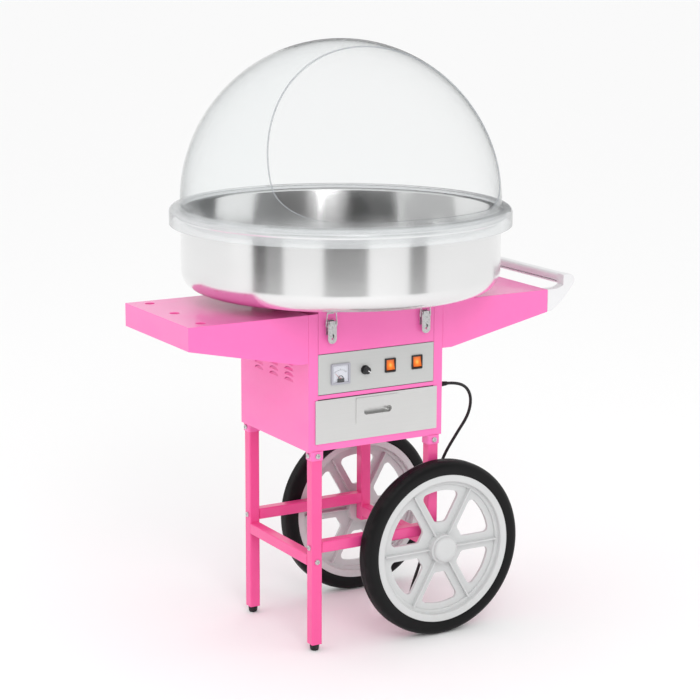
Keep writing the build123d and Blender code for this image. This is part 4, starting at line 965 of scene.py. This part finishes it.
# Both plates are painted shade, one for the slot and one for the hole.
for piece in (crescent, dot):
    right_piece = twin(piece, piece.name.replace("left", "right"), hook_gap)
    set_in(piece, "black_and_painted_shade", "lever_left", "black_plastic")
    set_in(right_piece, "black_and_painted_shade", "lever_right", "black_plastic")
print("latch slots made")

# %% [markdown]
# The gland holds the lead where it leaves the cabinet: a nut, then a rubber sleeve that tapers towards the
# lead with ribs round it, so that it bends evenly. The ribs are steps in the section that is turned.

# %% Cord gland
gland_mid = (gland_low + gland_high) / 2
side_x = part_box("side_panel_right")[1].x
gland_at = Vector((side_x, gland_mid.y, gland_mid.z))
sleeve = [(0.0038, 0.006), (0.0060, 0.006)]
RIBS, RIB_APART, RIB_W, RIB_DEEP, TAPER = 5, 0.0046, 0.0026, 0.0011, 0.00035
for k in range(RIBS):
    at = 0.0075 + k * RIB_APART
    fat = 0.0064 - TAPER * k
    sleeve += [(fat, at), (fat, at + RIB_W), (fat - RIB_DEEP, at + 0.0030), (fat - RIB_DEEP, at + 0.0044)]
sleeve += [(0.0045, 0.0318), (0.0037, 0.0318)]
gland_sleeve = turned("gland_sleeve", gland_at, "X", sleeve, steps=40)
set_in(gland_sleeve, "black_rubber", "cart", "black_rubber", "cord_gland", angle=30)
nut = [(0.0036, -0.009), (0.0064, -0.009), (0.0064, 0.0002), (0.0080, 0.0002), (0.0080, 0.0056),
       (0.0068, 0.0062), (0.0036, 0.0062)]
gland_nut = turned("gland_nut", gland_at, "X", nut, steps=6)
set_in(gland_nut, "black_rubber", "cart", "black_rubber", "cord_gland", angle=20)
print("gland ribs:", RIBS)

# %% [markdown]
# The lead itself was made earlier, together with its coil on the floor.

# %% Lead and its ends
print("lead made in the mains lead cell")

# %% [markdown]
# Dark cards stand round the cart where only reflections can see them. The outer wall of the bowl leans the
# mirrored room down to the low ones, and the inside throws it up to the raised ones. They make the upright
# grey bands that tell the eye this is polished steel.

# %% Cards for the steel to mirror
LOW, RAISED, OVER_RIM = (0.02, 1.0), (1.05, 3.4), (0.97, 1.5)
FAR, CLOSE = 3.0, 0.62
CARDS = [("card_left", -176, 10, FAR, LOW, 0.0), ("card_left_soft", -165, 13, FAR, LOW, 0.3),
         ("card_front", -116.4, 29, FAR, LOW, 0.22), ("card_right", -66.8, 13, FAR, LOW, 0.25),
         ("card_behind", 42, 66, CLOSE, OVER_RIM, 0.0), ("card_near_right", -75, 56, FAR, RAISED, 0.15),
         ("card_near", -135, 62, FAR, RAISED, 0.0), ("card_near_left", 165, 50, FAR, RAISED, 0.55)]


def card(name, bearing_deg, width_deg, away, heights, tone):
    swing = math.radians(bearing_deg)
    low, high = heights
    place = axis_foot + Vector((math.cos(swing), math.sin(swing), 0)) * away
    let_go()
    bpy.ops.mesh.primitive_plane_add(size=1, location=(place.x, place.y, (low + high) / 2))
    sheet = bpy.context.active_object
    sheet.name = name
    sheet.scale = (2 * away * math.tan(math.radians(width_deg / 2)), high - low, 1)
    sheet.rotation_euler = (math.radians(90), 0, swing - math.radians(90))
    paint = bpy.data.materials.new(name)
    paint.use_nodes = True
    glow = paint.node_tree.nodes["Principled BSDF"]
    glow.inputs["Base Color"].default_value = (0, 0, 0, 1)
    glow.inputs["Specular IOR Level"].default_value = 0
    glow.inputs["Emission Color"].default_value = (1, 1, 1, 1)
    glow.inputs["Emission Strength"].default_value = tone
    sheet.data.materials.append(paint)
    sheet.visible_camera = sheet.visible_diffuse = sheet.visible_shadow = sheet.visible_transmission = False


for row in CARDS:
    card(*row)
print("cards:", len(CARDS))
